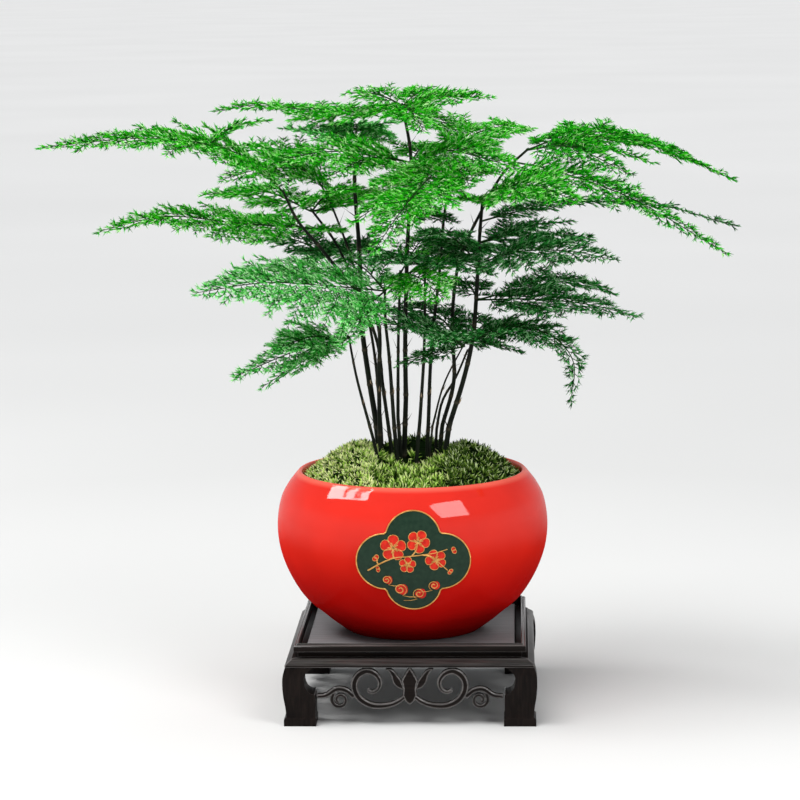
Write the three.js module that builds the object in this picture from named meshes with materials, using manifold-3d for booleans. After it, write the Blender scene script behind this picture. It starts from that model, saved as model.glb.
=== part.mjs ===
import * as THREE from 'three';
import { mergeVertices } from 'three/addons/utils/BufferGeometryUtils.js';
import Module from 'manifold-3d';

// A lace fern in a round glazed pot on a square wooden stand with scroll frets.
// Millimetres, +Z up. The origin is on the floor, in the middle of the stand.
// The front is -Y.

const wasm = await Module();
wasm.setup();
const { Manifold, Mesh: SolidMesh } = wasm;

// Driving dimensions
const GAP = 0.3;
const STAND_HALF = 75;
const SHOULDER_HALF = 80.4;
const STAND_HEIGHT = 53;
const SHOULDER_Z = 39.75;
const SHOULDER_FOOT_Z = 38.4;
const WAIST_HALF = 72.3;
const WAIST_Z = 43.9;
const RAIL_FOOT_Z = 47.6;
const RAIL_INNER = 71.8;
const LEDGE_HALF = 62;
const LEDGE_Z = 45.6;
const PANEL_HALF = 67.6;
const PANEL_TOP = 48;
const LEG_WIDTH = 20;
const FRET_FACE = 79.6;
const FRET_THICK = 5;

const POT_RADIUS = 89.6;
const POT_TOP = 154.8;
const POT_BASE = PANEL_TOP + GAP;
const SOIL_TOP = 147;
const MOSS_RADIUS = 71.8;
const MOSS_BASE = SOIL_TOP + GAP;
const MOSS_RISE = 20;
const MOSS_STRIP = 27;
const TUFT = 1.3;

const CANE_BOTTOM = 126;
const CANE_SIDES = 5;
const CANE_CLEARANCE = 0.35;
const CANE_TAPER = 0.45;
const BLADE = 0.8;
const LEAFLET_STEP = 17;
const LEAFLET_SHARE = 0.66;
const LEAFLET_ANGLE = THREE.MathUtils.degToRad(56);
const LEAFLET_SAG = 0.0016;
const RACHIS_HALF = 0.9;
const HUB_RADIUS = 2.2;

const paint = {
  wood: { color: 0x1d1816, roughness: 0.42, metalness: 0 },
  panel: { color: 0x4b4c4d, roughness: 0.75, metalness: 0 },
  glaze: { color: 0xc8140a, roughness: 0.15, metalness: 0 },
  soil: { color: 0x2c2118, roughness: 0.95, metalness: 0 },
  moss: { color: 0x6f9c2e, roughness: 0.95, metalness: 0 },
  darkMoss: { color: 0x49682a, roughness: 0.95, metalness: 0 },
  cane: { color: 0x16211a, roughness: 0.6, metalness: 0 },
  bright: { color: 0x2fae2a, roughness: 0.7, metalness: 0 },
  deep: { color: 0x1d6b2b, roughness: 0.75, metalness: 0 },
};

// Solids and meshes

function solidOf(geometry) {
  const bare = geometry.clone();
  bare.deleteAttribute('normal');
  bare.deleteAttribute('uv');
  const merged = mergeVertices(bare, 1e-4);
  return new Manifold(new SolidMesh({
    numProp: 3,
    vertProperties: new Float32Array(merged.attributes.position.array),
    triVerts: new Uint32Array(merged.index.array),
  }));
}

function solidFrom(points, triangles) {
  const geometry = new THREE.BufferGeometry();
  const flat = points.flatMap((p) => [p.x, p.y, p.z]);
  geometry.setAttribute('position', new THREE.Float32BufferAttribute(flat, 3));
  geometry.setIndex(triangles.flat());
  return solidOf(geometry);
}

function geometryOf(solid) {
  const mesh = solid.getMesh();
  const geometry = new THREE.BufferGeometry();
  geometry.setAttribute('position', new THREE.BufferAttribute(mesh.vertProperties, 3));
  geometry.setIndex(new THREE.BufferAttribute(mesh.triVerts, 1));
  geometry.computeVertexNormals();
  return geometry;
}

function largestPart(solid) {
  const parts = solid.decompose();
  return parts.reduce((best, part) => (part.volume() > best.volume() ? part : best));
}

const plant = new THREE.Group();

function addNode(name, geometry, look, turn = 0) {
  const mesh = new THREE.Mesh(geometry, new THREE.MeshStandardMaterial(look));
  mesh.name = name;
  mesh.rotation.z = turn;
  plant.add(mesh);
}

const SIDES = [['front', 0], ['right', Math.PI / 2], ['back', Math.PI], ['left', -Math.PI / 2]];
const CORNERS = [['front_left', 0], ['front_right', Math.PI / 2],
  ['back_right', Math.PI], ['back_left', -Math.PI / 2]];

function shapeOf(points) {
  return new THREE.Shape(points.map(([x, y]) => new THREE.Vector2(x, y)));
}

// A bar along the front side whose ends are cut at 45 degrees.
// Its section gives the distance out from the middle, and the height.
function mitredBar(section) {
  const bar = new THREE.ExtrudeGeometry(shapeOf(section), { depth: 2, bevelEnabled: false });
  const spots = bar.attributes.position;
  for (let i = 0; i < spots.count; i += 1) {
    const out = spots.getX(i);
    const end = 1 - spots.getZ(i);
    spots.setXYZ(i, end * (out - GAP * 0.7), -out, spots.getY(i));
  }
  return bar;
}

// A plate that stands on edge in the front plane
function frontPlate(shape, thick, back) {
  const plate = new THREE.ExtrudeGeometry(shape, { depth: thick, bevelEnabled: false });
  plate.rotateX(Math.PI / 2);
  plate.translate(0, -back, 0);
  return plate;
}

// Stand

function standRail() {
  return mitredBar([
    [LEDGE_HALF, WAIST_Z], [WAIST_HALF, WAIST_Z], [WAIST_HALF, RAIL_FOOT_Z], [STAND_HALF, RAIL_FOOT_Z],
    [STAND_HALF, STAND_HEIGHT - 1.8], [STAND_HALF - 0.7, STAND_HEIGHT - 1],
    [RAIL_INNER + 0.7, STAND_HEIGHT], [RAIL_INNER, STAND_HEIGHT - 0.4],
    [RAIL_INNER, LEDGE_Z], [LEDGE_HALF, LEDGE_Z],
  ]);
}

function standPanel() {
  const thick = PANEL_TOP - LEDGE_Z - GAP;
  const panel = new THREE.BoxGeometry(2 * PANEL_HALF, 2 * PANEL_HALF, thick);
  panel.translate(0, 0, PANEL_TOP - thick / 2);
  return panel;
}

// A band of changing width along a smooth line in the fret's plane
function band(line, widths, steps) {
  const curve = new THREE.SplineCurve(line.map(([x, z]) => new THREE.Vector2(x, z)));
  const left = [];
  const right = [];
  for (let i = 0; i <= steps; i += 1) {
    const t = i / steps;
    const at = curve.getPoint(t);
    const along = curve.getTangent(t);
    const place = t * (widths.length - 1);
    const first = Math.min(Math.floor(place), widths.length - 2);
    const half = THREE.MathUtils.lerp(widths[first], widths[first + 1], place - first) / 2;
    left.push([at.x - along.y * half, at.y + along.x * half]);
    right.unshift([at.x + along.y * half, at.y - along.x * half]);
  }
  return [...left, ...right];
}

function spiral(middle, outer, inner, from, turns, count) {
  const line = [];
  for (let i = 0; i <= count; i += 1) {
    const t = i / count;
    const angle = from + turns * 2 * Math.PI * t;
    const radius = THREE.MathUtils.lerp(outer, inner, t);
    line.push([middle[0] + radius * Math.cos(angle), middle[1] + radius * Math.sin(angle)]);
  }
  return line;
}

function fretHalf() {
  const wave = [[-60.2, 19.1], [-54, 19.8], [-47, 23.9], [-41.5, 23.2], [-35.5, 18.6]];
  const curl = spiral([-45, 17], 5.6, 1.7, Math.PI * 0.72, 1.35, 9);
  const scroll = [[-1, 20.5], [-9, 14.9], [-17, 12.9], [-25, 13.4], [-31.8, 17.2], [-35.3, 23],
    [-35.6, 28.4], [-32.8, 33.4], [-27.4, 35.9], [-21.6, 33.4], [-19, 28.2], [-20.6, 23.6],
    [-24.6, 21.9], [-27.4, 23.6]];
  const hook = [[-3, 23], [-10.2, 27.2], [-11.7, 32.2], [-15.7, 36.6], [-10.9, 36.2], [-5.4, 29.8]];
  return [band(wave, [2.9, 3.6, 3.4], 5), band(curl, [2.6, 2, 1.6], 8),
    band(scroll, [3, 3.4, 4, 4.4, 4.4, 3, 1.8], 14), hook];
}

function standApron() {
  const bar = mitredBar([
    [66, SHOULDER_FOOT_Z], [SHOULDER_HALF, SHOULDER_FOOT_Z], [SHOULDER_HALF, SHOULDER_Z],
    [76.2, WAIST_Z - GAP], [66, WAIST_Z - GAP],
  ]);
  const spade = [[0, SHOULDER_FOOT_Z + 0.6], [-5.4, 29.8], [-5, 22.5], [0, 13.6], [5, 22.5], [5.4, 29.8]];
  const outlines = [spade];
  for (const outline of fretHalf()) {
    outlines.push(outline, outline.map(([x, z]) => [-x, z]));
  }
  const back = FRET_FACE - FRET_THICK;
  const plates = outlines.map((outline) => solidOf(frontPlate(shapeOf(outline), FRET_THICK, back)));
  return geometryOf(Manifold.union([solidOf(bar), ...plates]));
}

function standLeg() {
  const top = SHOULDER_FOOT_Z - GAP;
  const inner = LEG_WIDTH - 81;
  const outline = shapeOf([
    [-SHOULDER_HALF, top], [-81.7, 33], [-82, 27], [-81.4, 19], [-80.3, 12], [-79.8, 6.2],
    [-81.3, 4.4], [-81.3, 0], [inner + 0.5, 0], [inner + 0.5, 4.4], [inner, 6.2], [inner, 20.8],
    [-63.4, 21.4], [-66.5, 24.4], [-68, 31], [-66.6, 35], [-62.6, top],
  ]);
  const reach = 2 * LEG_WIDTH;
  const start = SHOULDER_HALF - 1.5 * LEG_WIDTH;
  const front = frontPlate(outline, reach, start);
  const side = new THREE.ExtrudeGeometry(outline, { depth: reach, bevelEnabled: false });
  side.translate(0, 0, -start - reach);
  const turned = new THREE.Matrix4().makeBasis(
    new THREE.Vector3(0, 1, 0), new THREE.Vector3(0, 0, 1), new THREE.Vector3(1, 0, 0));
  side.applyMatrix4(turned);
  return geometryOf(solidOf(front).intersect(solidOf(side)));
}

for (const [side, turn] of SIDES) {
  addNode(`stand_rail_${side}`, standRail(), paint.wood, turn);
  addNode(`stand_apron_${side}`, standApron(), paint.wood, turn);
}
for (const [corner, turn] of CORNERS) {
  addNode(`stand_leg_${corner}`, standLeg(), paint.wood, turn);
}
addNode('stand_panel', standPanel(), paint.panel);

// Pot and soil

const potInside = [[40, 56.5], [63, 70.6], [78, 91], [84.4, 115], [81.6, 135], [75.6, 147],
  [72.8, 151.4]];

function pot() {
  const outside = [[0, POT_BASE + 2.3], [34, POT_BASE + 2.3], [36.5, POT_BASE], [44.5, POT_BASE],
    [49.4, 51.6], [61.5, 61.4], [74.1, 73.3], [82.8, 88.2], [88.2, 104], [POT_RADIUS, 120],
    [86.9, 136.5], [81.8, 146]];
  const lip = [[75.8, 153.6], [74.2, POT_TOP], [72.9, 153.9]];
  const profile = [...outside, ...lip, ...[...potInside].reverse(), [0, 56.5]];
  const points = profile.map(([r, z]) => new THREE.Vector2(r, z));
  return new THREE.LatheGeometry(points, 28).rotateX(Math.PI / 2);
}

addNode('pot', geometryOf(solidOf(pot())), paint.glaze);

// Canes: a radius at the soil, and a route from below the soil up.
// The first stretch is straight, so that it stands in a plain hole.

const CANES = {
  cane_1: { radius: 1.3, route: [[-14, -11, CANE_BOTTOM], [-25, -13, 177], [-35, -14, 216],
    [-38, -15, 232], [-40, -16, 245]] },
  cane_2: { radius: 2.1, route: [[-18, 5, CANE_BOTTOM], [-24, 9, 185], [-29, 11, 217],
    [-33, 13, 250], [-34, 16, 296], [-37, 20, 343], [-36, 22, 364]] },
  cane_3: { radius: 1.2, route: [[-19, 15, CANE_BOTTOM], [-21, 17, 180], [-25, 20, 228],
    [-30, 22, 256], [-42, 26, 298], [-56, 30, 335]] },
  cane_4: { radius: 1.6, route: [[-20, -4, CANE_BOTTOM], [-21, -6, 188], [-21, -9, 216],
    [-22, -13, 257], [-44, -18, 286], [-57, -20, 303], [-72, -24, 322], [-81, -28, 342]] },
  cane_5: { radius: 1.4, route: [[-9, 3, CANE_BOTTOM], [-15, 2, 179], [-19, 1, 211],
    [-22, 1, 238], [-34, 3, 270], [-49, 6, 304], [-65, 8, 326]] },
  cane_6: { radius: 1.6, route: [[-6, -9, CANE_BOTTOM], [-11, -11, 183], [-14, -12, 232],
    [-16, -15, 255], [-16, -18, 275]] },
  cane_7: { radius: 1.4, route: [[-5, 1, CANE_BOTTOM], [-9, 0, 189], [-8, -6, 242],
    [-6, -14, 288]] },
  cane_8: { radius: 1.8, route: [[-7, 12, CANE_BOTTOM], [-4, 10, 200], [-4, 8, 240],
    [-2, 5, 300], [1, 4, 360], [-4, 0, 394]] },
  cane_9: { radius: 1.4, route: [[0, -9, CANE_BOTTOM], [6, -11, 190], [9, -12, 234],
    [10, -14, 276], [10, -16, 291]] },
  cane_10: { radius: 1.4, route: [[8, 5, CANE_BOTTOM], [11, 6, 186], [13, 8, 229],
    [20, 2, 293], [23, -6, 325], [30, -12, 359]] },
  cane_11: { radius: 0.9, route: [[8, -5, CANE_BOTTOM], [14, -9, 184], [22, -12, 213],
    [35, -16, 239]] },
  cane_12: { radius: 1.2, route: [[14, 12, CANE_BOTTOM], [16, 15, 178], [20, 18, 197],
    [29, 24, 212], [37, 30, 230]] },
  cane_13: { radius: 1.9, route: [[16, -1, CANE_BOTTOM], [25, -3, 184], [35, -6, 216],
    [41, -8, 243], [44, -12, 279], [46, -16, 312], [48, -18, 334]] },
  cane_14: { radius: 1.5, route: [[15, 4, CANE_BOTTOM], [20, 5, 182], [28, 7, 212],
    [27, 12, 250], [32, 20, 291], [45, 24, 320], [62, 28, 349], [77, 30, 363]] },
};

function caneLine(route) {
  const points = route.map((p) => new THREE.Vector3(...p));
  const upper = new THREE.CatmullRomCurve3(points.slice(1), false, 'centripetal');
  return [points[0], ...upper.getPoints(2 * (points.length - 2))];
}

// A round bar of a few sides along a line of points, thinner towards its end
function sweep(line, radiusAt, extra, sides) {
  const points = [];
  const triangles = [];
  const last = line.length - 1;
  let side = new THREE.Vector3(0, 1, 0);
  line.forEach((at, k) => {
    const along = line[Math.min(k + 1, last)].clone().sub(line[Math.max(k - 1, 0)]).normalize();
    side = side.clone().addScaledVector(along, -side.dot(along)).normalize();
    const other = along.clone().cross(side);
    const radius = radiusAt(k / last) + extra;
    const shift = k === 0 ? -extra : k === last ? extra : 0;
    for (let j = 0; j < sides; j += 1) {
      const angle = (2 * Math.PI * j) / sides;
      points.push(at.clone().addScaledVector(along, shift)
        .addScaledVector(side, radius * Math.cos(angle))
        .addScaledVector(other, radius * Math.sin(angle)));
    }
  });
  for (let k = 0; k < last; k += 1) {
    for (let j = 0; j < sides; j += 1) {
      const a = k * sides + j;
      const b = k * sides + ((j + 1) % sides);
      triangles.push([a, b, b + sides], [a, b + sides, a + sides]);
    }
  }
  for (let j = 1; j < sides - 1; j += 1) {
    triangles.push([0, j + 1, j]);
    triangles.push([last * sides, last * sides + j, last * sides + j + 1]);
  }
  return solidFrom(points, triangles);
}

function caneSolid({ radius, route }, extra) {
  return sweep(caneLine(route), (t) => radius * (1 - CANE_TAPER * t), extra, CANE_SIDES);
}

const caneSolids = Object.values(CANES).map((cane) => caneSolid(cane, 0));
const caneClearances = Object.values(CANES).map((cane) => caneSolid(cane, CANE_CLEARANCE));
const caneHoles = Manifold.union(caneClearances);

Object.keys(CANES).forEach((name, i) => addNode(name, geometryOf(caneSolids[i]), paint.cane));

function soil() {
  const wall = potInside.slice(0, -2).map(([r, z]) => [r - CANE_CLEARANCE, z + 0.2]);
  const profile = [[0, 56.9], ...wall.slice(0, 1).map(([r]) => [r, 56.9]), ...wall.slice(1),
    [75.1, SOIL_TOP], [0, SOIL_TOP]];
  const points = profile.map(([r, z]) => new THREE.Vector2(r, z));
  const body = new THREE.LatheGeometry(points, 14).rotateX(Math.PI / 2);
  return geometryOf(solidOf(body).subtract(caneHoles));
}

addNode('soil', soil(), paint.soil);

// Moss: cushions of one outline each, raised to a dome with small tufts

function arc(from, to, steps) {
  const points = [];
  for (let i = 0; i <= steps; i += 1) {
    const angle = THREE.MathUtils.degToRad(THREE.MathUtils.lerp(from, to, i / steps));
    points.push([MOSS_RADIUS * Math.cos(angle), MOSS_RADIUS * Math.sin(angle)]);
  }
  return points;
}

function cushion(outline, middle, height, edge) {
  const rings = 5;
  const count = outline.length;
  const points = [];
  const triangles = [];
  outline.forEach(([x, y]) => points.push(new THREE.Vector3(x, y, MOSS_BASE)));
  for (let k = 0; k < rings; k += 1) {
    const t = 1 - k / rings;
    outline.forEach(([x, y], j) => {
      const px = THREE.MathUtils.lerp(middle[0], x, t);
      const py = THREE.MathUtils.lerp(middle[1], y, t);
      const tuft = k === 0 ? 0 : TUFT * ((j + k) % 2);
      const rim = edge + MOSS_RISE * (1 - (x * x + y * y) / (MOSS_RADIUS * MOSS_RADIUS));
      points.push(new THREE.Vector3(px, py, MOSS_BASE + rim + (height - rim) * (1 - t * t) + tuft));
    });
  }
  const peak = points.push(new THREE.Vector3(middle[0], middle[1], MOSS_BASE + height)) - 1;
  const foot = points.push(new THREE.Vector3(middle[0], middle[1], MOSS_BASE)) - 1;
  for (let k = 0; k < rings; k += 1) {
    for (let j = 0; j < count; j += 1) {
      const a = k * count + j;
      const b = k * count + ((j + 1) % count);
      triangles.push([a, b, b + count], [a, b + count, a + count]);
    }
  }
  for (let j = 0; j < count; j += 1) {
    const next = (j + 1) % count;
    triangles.push([rings * count + j, rings * count + next, peak], [next, j, foot]);
  }
  return solidFrom(points, triangles);
}

const leftMoss = [...arc(112, 248, 13), ...[-38, -13, 13, 38].map((y) => [-MOSS_STRIP, y])];
const rightMoss = leftMoss.map(([x, y]) => [-x, -y]);
const inner = MOSS_STRIP - 2 * GAP;
const centreMoss = [...arc(-111.5, -68.5, 5), [inner, -36], [inner, -8], [inner, 20],
  [9, 20], [-9, 20], [-inner, 20], [-inner, -8], [-inner, -36]];
const rearMoss = [...arc(68.5, 111.5, 5), [-inner, 44], [-inner, 20.6], [-9, 20.6], [9, 20.6],
  [inner, 20.6], [inner, 44]];
const mossLumps = [
  ['moss_left', leftMoss, [-35, -1], 27, 4, paint.moss],
  ['moss_centre', centreMoss, [2, -16], 15, 5, paint.moss],
  ['moss_right', rightMoss, [37, 5], 26, 4, paint.darkMoss],
  ['moss_rear', rearMoss, [3, 40], 25, 4, paint.darkMoss],
];
for (const [name, outline, middle, height, edge, look] of mossLumps) {
  addNode(name, geometryOf(cushion(outline, middle, height, edge).subtract(caneHoles)), look);
}

// Fronds: each is one thin blade, cut to its rib into leaflets.
// A route leads from the cane to the tip. Half is the longest leaflet.
// Lean turns the blade about its rib, sag bends its leaflets down, and bare
// is the share of the rib without leaflets. Several blades share a hub.

const FRONDS = {
  frond_crown: { look: 'bright', hub: [-5, 0, 399], sprays: [
    { route: [[-4, 0, 394], [14, -14, 399], [34, -28, 401], [53, -40, 401]],
      half: 32, lean: 16, bare: 0.1 },
    { route: [[-4, 0, 394], [-14, 7, 399], [-26, 14, 402], [-42, 20, 402]],
      half: 26, lean: -16, bare: 0.2 },
    { route: [[-4, 0, 394], [-32, 26, 389], [-75, 55, 390], [-108, 68, 392], [-133, 80, 388]],
      half: 36, lean: -14, bare: 0.12 },
    { route: [[-4, 0, 394], [-2, -26, 395], [6, -54, 390], [12, -78, 382]],
      half: 42, lean: 4, bare: 0.16 },
    { route: [[-4, 0, 394], [4, 14, 401], [13, 34, 404]], half: 34, lean: 4, bare: 0.16 },
    { route: [[-4, 0, 394], [10, -8, 388], [34, -14, 380]], half: 26, lean: 20, bare: 0.2 },
  ] },
  frond_dome: { look: 'deep', hub: [-36, 22, 369], sprays: [
    { route: [[-36, 22, 363], [-37, 45, 376], [-38, 80, 378], [-41, 118, 366]],
      half: 52, lean: 0, bare: 0.1, sag: 4 },
    { route: [[-36, 22, 363], [-50, 28, 374], [-84, 34, 378]], half: 25, lean: -14, bare: 0.2 },
  ] },
  frond_left_long: { look: 'bright', sprays: [
    { route: [[-81, -28, 341], [-99, -46, 362], [-124, -70, 374], [-164, -98, 380], [-222, -120, 376]],
      half: 48, lean: -22, bare: 0.1 },
    { route: [[-124, -70, 374], [-110, -50, 384], [-90, -30, 387]], half: 16, lean: -12, bare: 0.1 },
  ] },
  frond_left_upper: { look: 'bright', hub: [-57, 31, 340], sprays: [
    { route: [[-56, 30, 334], [-66, 16, 350], [-94, 0, 354], [-122, -16, 348]],
      half: 42, lean: -24, bare: 0.16 },
    { route: [[-56, 30, 334], [-70, 44, 353], [-92, 60, 363], [-120, 72, 365]],
      half: 36, lean: -18, bare: 0.24 },
  ] },
  frond_centre_left: { look: 'bright', hub: [0, -3, 359], sprays: [
    { route: [[1, 4, 357], [-24, -24, 362], [-50, -52, 352]], half: 34, lean: -24, bare: 0.2 },
    { route: [[1, 4, 357], [24, -18, 366], [50, -40, 362], [76, -56, 355]],
      half: 44, lean: 22, bare: 0.14 },
    { route: [[1, 4, 357], [-28, -2, 364], [-64, -6, 364], [-98, -8, 354]],
      half: 42, lean: -22, bare: 0.12 },
    { route: [[1, 4, 357], [6, 28, 364], [14, 58, 366]], half: 36, lean: 0, bare: 0.2, sag: 2 },
  ] },
  frond_left_mid: { look: 'bright', sprays: [
    { route: [[-68, -23, 317], [-110, -42, 322], [-154, -60, 328], [-194, -72, 320]], half: 42, lean: -22,
      bare: 0.08 },
    { route: [[-68, -23, 317], [-92, -10, 322], [-120, 4, 318]], half: 30, lean: -14, bare: 0.16 },
    { route: [[-68, -23, 317], [-58, -2, 314], [-46, 22, 312]], half: 28, lean: -4, bare: 0.16 },
  ] },
  frond_left_back: { look: 'bright', hub: [-66, 9, 331], sprays: [
    { route: [[-65, 8, 325], [-97, 36, 336], [-142, 66, 332]], half: 36, lean: -14, bare: 0.18 },
    { route: [[-65, 8, 325], [-47, 30, 328], [-38, 60, 334], [-34, 90, 330]],
      half: 40, lean: -6, bare: 0.2, sag: 3 },
    { route: [[-65, 8, 325], [-52, -12, 339], [-34, -38, 343]], half: 34, lean: 6, bare: 0.16 },
  ] },
  frond_left_small: { look: 'deep', sprays: [
    { route: [[-45, -18, 288], [-61, 2, 300], [-84, 26, 306], [-109, 48, 301]],
      half: 28, lean: -16, bare: 0.3 },
  ] },
  frond_left_low: { look: 'bright', hub: [-17, -20, 280], sprays: [
    { route: [[-16, -18, 275], [-47, -44, 281], [-89, -76, 287], [-131, -106, 284]], half: 62, lean: -32,
      bare: 0.1, sag: 2 },
    { route: [[-16, -18, 275], [-28, -46, 266], [-42, -76, 246]], half: 34, lean: -6, bare: 0.2 },
    { route: [[-16, -18, 275], [-30, -2, 288], [-48, 14, 296]], half: 38, lean: -20, bare: 0.2 },
    { route: [[-16, -18, 275], [-11, 2, 279], [-7, 28, 280]], half: 24, lean: 0, bare: 0.2 },
  ] },
  frond_front_small: { look: 'bright', sprays: [
    { route: [[-6, -14, 286], [8, -46, 286], [24, -78, 276]], half: 42, lean: 20, bare: 0.12 },
    { route: [[-6, -14, 286], [4, 2, 302], [12, 24, 310]], half: 28, lean: 4, bare: 0.2 },
  ] },
  frond_left_bottom: { look: 'deep', hub: [-42, -17, 248], sprays: [
    { route: [[-40, -16, 244], [-70, -42, 240], [-111, -72, 226]], half: 32, lean: -24, bare: 0.15 },
    { route: [[-40, -16, 244], [-69, -12, 229], [-98, -12, 211]], half: 24, lean: -20, bare: 0.3 },
    { route: [[-40, -16, 244], [-62, -40, 248], [-86, -74, 243]], half: 34, lean: -20, bare: 0.2 },
  ] },
  frond_centre_front: { look: 'bright', hub: [31, -13, 363], sprays: [
    { route: [[30, -12, 359], [15, -46, 351], [-2, -84, 333], [-18, -116, 311]], half: 54, lean: -12,
      bare: 0.12 },
    { route: [[30, -12, 359], [39, 22, 372], [59, 56, 377], [81, 88, 374]],
      half: 44, lean: 12, bare: 0.16 },
    { route: [[30, -12, 359], [10, -38, 350], [-12, -58, 338], [-34, -72, 324]],
      half: 44, lean: -18, bare: 0.16 },
    { route: [[30, -12, 359], [36, -38, 354], [40, -66, 346]], half: 34, lean: 4, bare: 0.16 },
  ] },
  frond_centre_right: { look: 'bright', sprays: [
    { route: [[48, -18, 333], [63, -42, 344], [85, -70, 346], [108, -96, 338]],
      half: 44, lean: 26, bare: 0.15 },
    { route: [[48, -18, 333], [72, -10, 339], [102, 0, 338]], half: 32, lean: 14, bare: 0.18 },
    { route: [[48, -18, 333], [44, -34, 336], [38, -56, 337]], half: 28, lean: -6, bare: 0.16 },
  ] },
  frond_right_upper: { look: 'bright', hub: [80, 31, 366], sprays: [
    { route: [[77, 30, 363], [103, 54, 370], [154, 92, 366], [220, 120, 336]],
      half: 46, lean: 16, bare: 0.12 },
    { route: [[77, 30, 363], [104, 14, 366], [144, -10, 349]], half: 32, lean: 20, bare: 0.2 },
    { route: [[104, 14, 366], [130, 22, 364], [160, 26, 354]], half: 16, lean: 14, bare: 0.1 },
  ] },
  frond_right_long_front: { look: 'bright', sprays: [
    { route: [[69, 29, 355], [92, 0, 352], [143, -38, 336], [202, -66, 303]],
      half: 30, lean: 16, bare: 0.18 },
  ] },
  frond_right_long_back: { look: 'deep', sprays: [
    { route: [[47, -17, 320], [66, 20, 322], [98, 58, 326], [169, 98, 320], [221, 116, 304]], half: 20,
      lean: 10, bare: 0.2 },
  ] },
  frond_right_mid: { look: 'deep', hub: [46, -16, 297], sprays: [
    { route: [[45, -13, 292], [72, -36, 302], [104, -56, 304], [131, -74, 300]],
      half: 42, lean: 24, bare: 0.15 },
    { route: [[45, -13, 292], [28, -40, 312], [10, -66, 318]], half: 44, lean: 2, bare: 0.18, sag: 3 },
  ] },
  frond_right_mid_back: { look: 'deep', sprays: [
    { route: [[46, -15, 306], [79, 16, 309], [121, 42, 302]], half: 36, lean: 14, bare: 0.2 },
    { route: [[46, -15, 306], [76, -14, 316], [106, -10, 319]], half: 22, lean: 12, bare: 0.2 },
  ] },
  frond_right_low: { look: 'deep', hub: [49, -10, 270], sprays: [
    { route: [[44, -11, 268], [82, -26, 270], [117, -42, 268], [146, -56, 262]], half: 40, lean: 18,
      bare: 0.15 },
    { route: [[44, -11, 268], [84, 4, 276], [112, 28, 276], [136, 50, 264]],
      half: 34, lean: 14, bare: 0.3 },
    { route: [[44, -11, 268], [40, 10, 274], [32, 36, 276]], half: 28, lean: 0, bare: 0.2 },
  ] },
  frond_right_drooping: { look: 'deep', sprays: [
    { route: [[41, -8, 241], [62, -20, 251], [92, -40, 248], [106, -52, 232], [104, -60, 208]], half: 28,
      lean: 20, bare: 0.2 },
  ] },
  frond_right_bottom: { look: 'deep', hub: [31, 12, 237], sprays: [
    { route: [[27, 11, 236], [48, 24, 236], [73, 36, 227]], half: 20, lean: 16, bare: 0.25 },
    { route: [[27, 11, 236], [52, 0, 245], [82, -14, 245], [108, -24, 236]],
      half: 30, lean: 18, bare: 0.2 },
  ] },
  frond_back_right: { look: 'deep', hub: [11, -18, 294], sprays: [
    { route: [[10, -16, 290], [16, 20, 294], [40, 76, 296], [84, 118, 285]],
      half: 42, lean: 8, bare: 0.35, sag: 3 },
    { route: [[10, -16, 290], [31, -40, 296], [54, -64, 290]], half: 36, lean: 8, bare: 0.2 },
    { route: [[10, -16, 290], [-4, -40, 299], [-22, -64, 298]], half: 36, lean: -8, bare: 0.2 },
  ] },
  frond_back_left: { look: 'deep', sprays: [
    { route: [[-34, 16, 292], [-46, 50, 297], [-76, 100, 291]], half: 44, lean: -12, bare: 0.16, sag: 3 },
  ] },
  frond_back_centre: { look: 'deep', sprays: [
    { route: [[-1, 5, 322], [-9, 60, 332], [-20, 120, 324]], half: 42, lean: 0, bare: 0.2, sag: 3 },
    { route: [[-1, 5, 322], [14, -14, 324], [30, -30, 321]], half: 26, lean: 8, bare: 0.2 },
  ] },
  frond_front_low: { look: 'deep', hub: [36, -18, 243], sprays: [
    { route: [[35, -16, 238], [26, -48, 250], [16, -80, 247]], half: 30, lean: 0, bare: 0.12 },
    { route: [[35, -16, 238], [10, -30, 252], [-18, -40, 256]], half: 36, lean: -20, bare: 0.16 },
    { route: [[35, -16, 238], [20, 10, 253], [0, 36, 258], [-22, 60, 252]],
      half: 38, lean: -10, bare: 0.3, sag: 3 },
    { route: [[35, -16, 238], [14, -22, 234], [-8, -26, 228]], half: 26, lean: -8, bare: 0.2 },
  ] },
  frond_back_low: { look: 'deep', sprays: [
    { route: [[37, 30, 229], [48, 62, 243], [74, 100, 238]], half: 34, lean: 8, bare: 0.12 },
  ] },
};

// Leaflets are longest near the base of the blade and short at its tip.
function leafletLength(t) {
  return Math.min(1, 0.4 + 2.4 * t) * (1 - t) ** 0.62;
}

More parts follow.
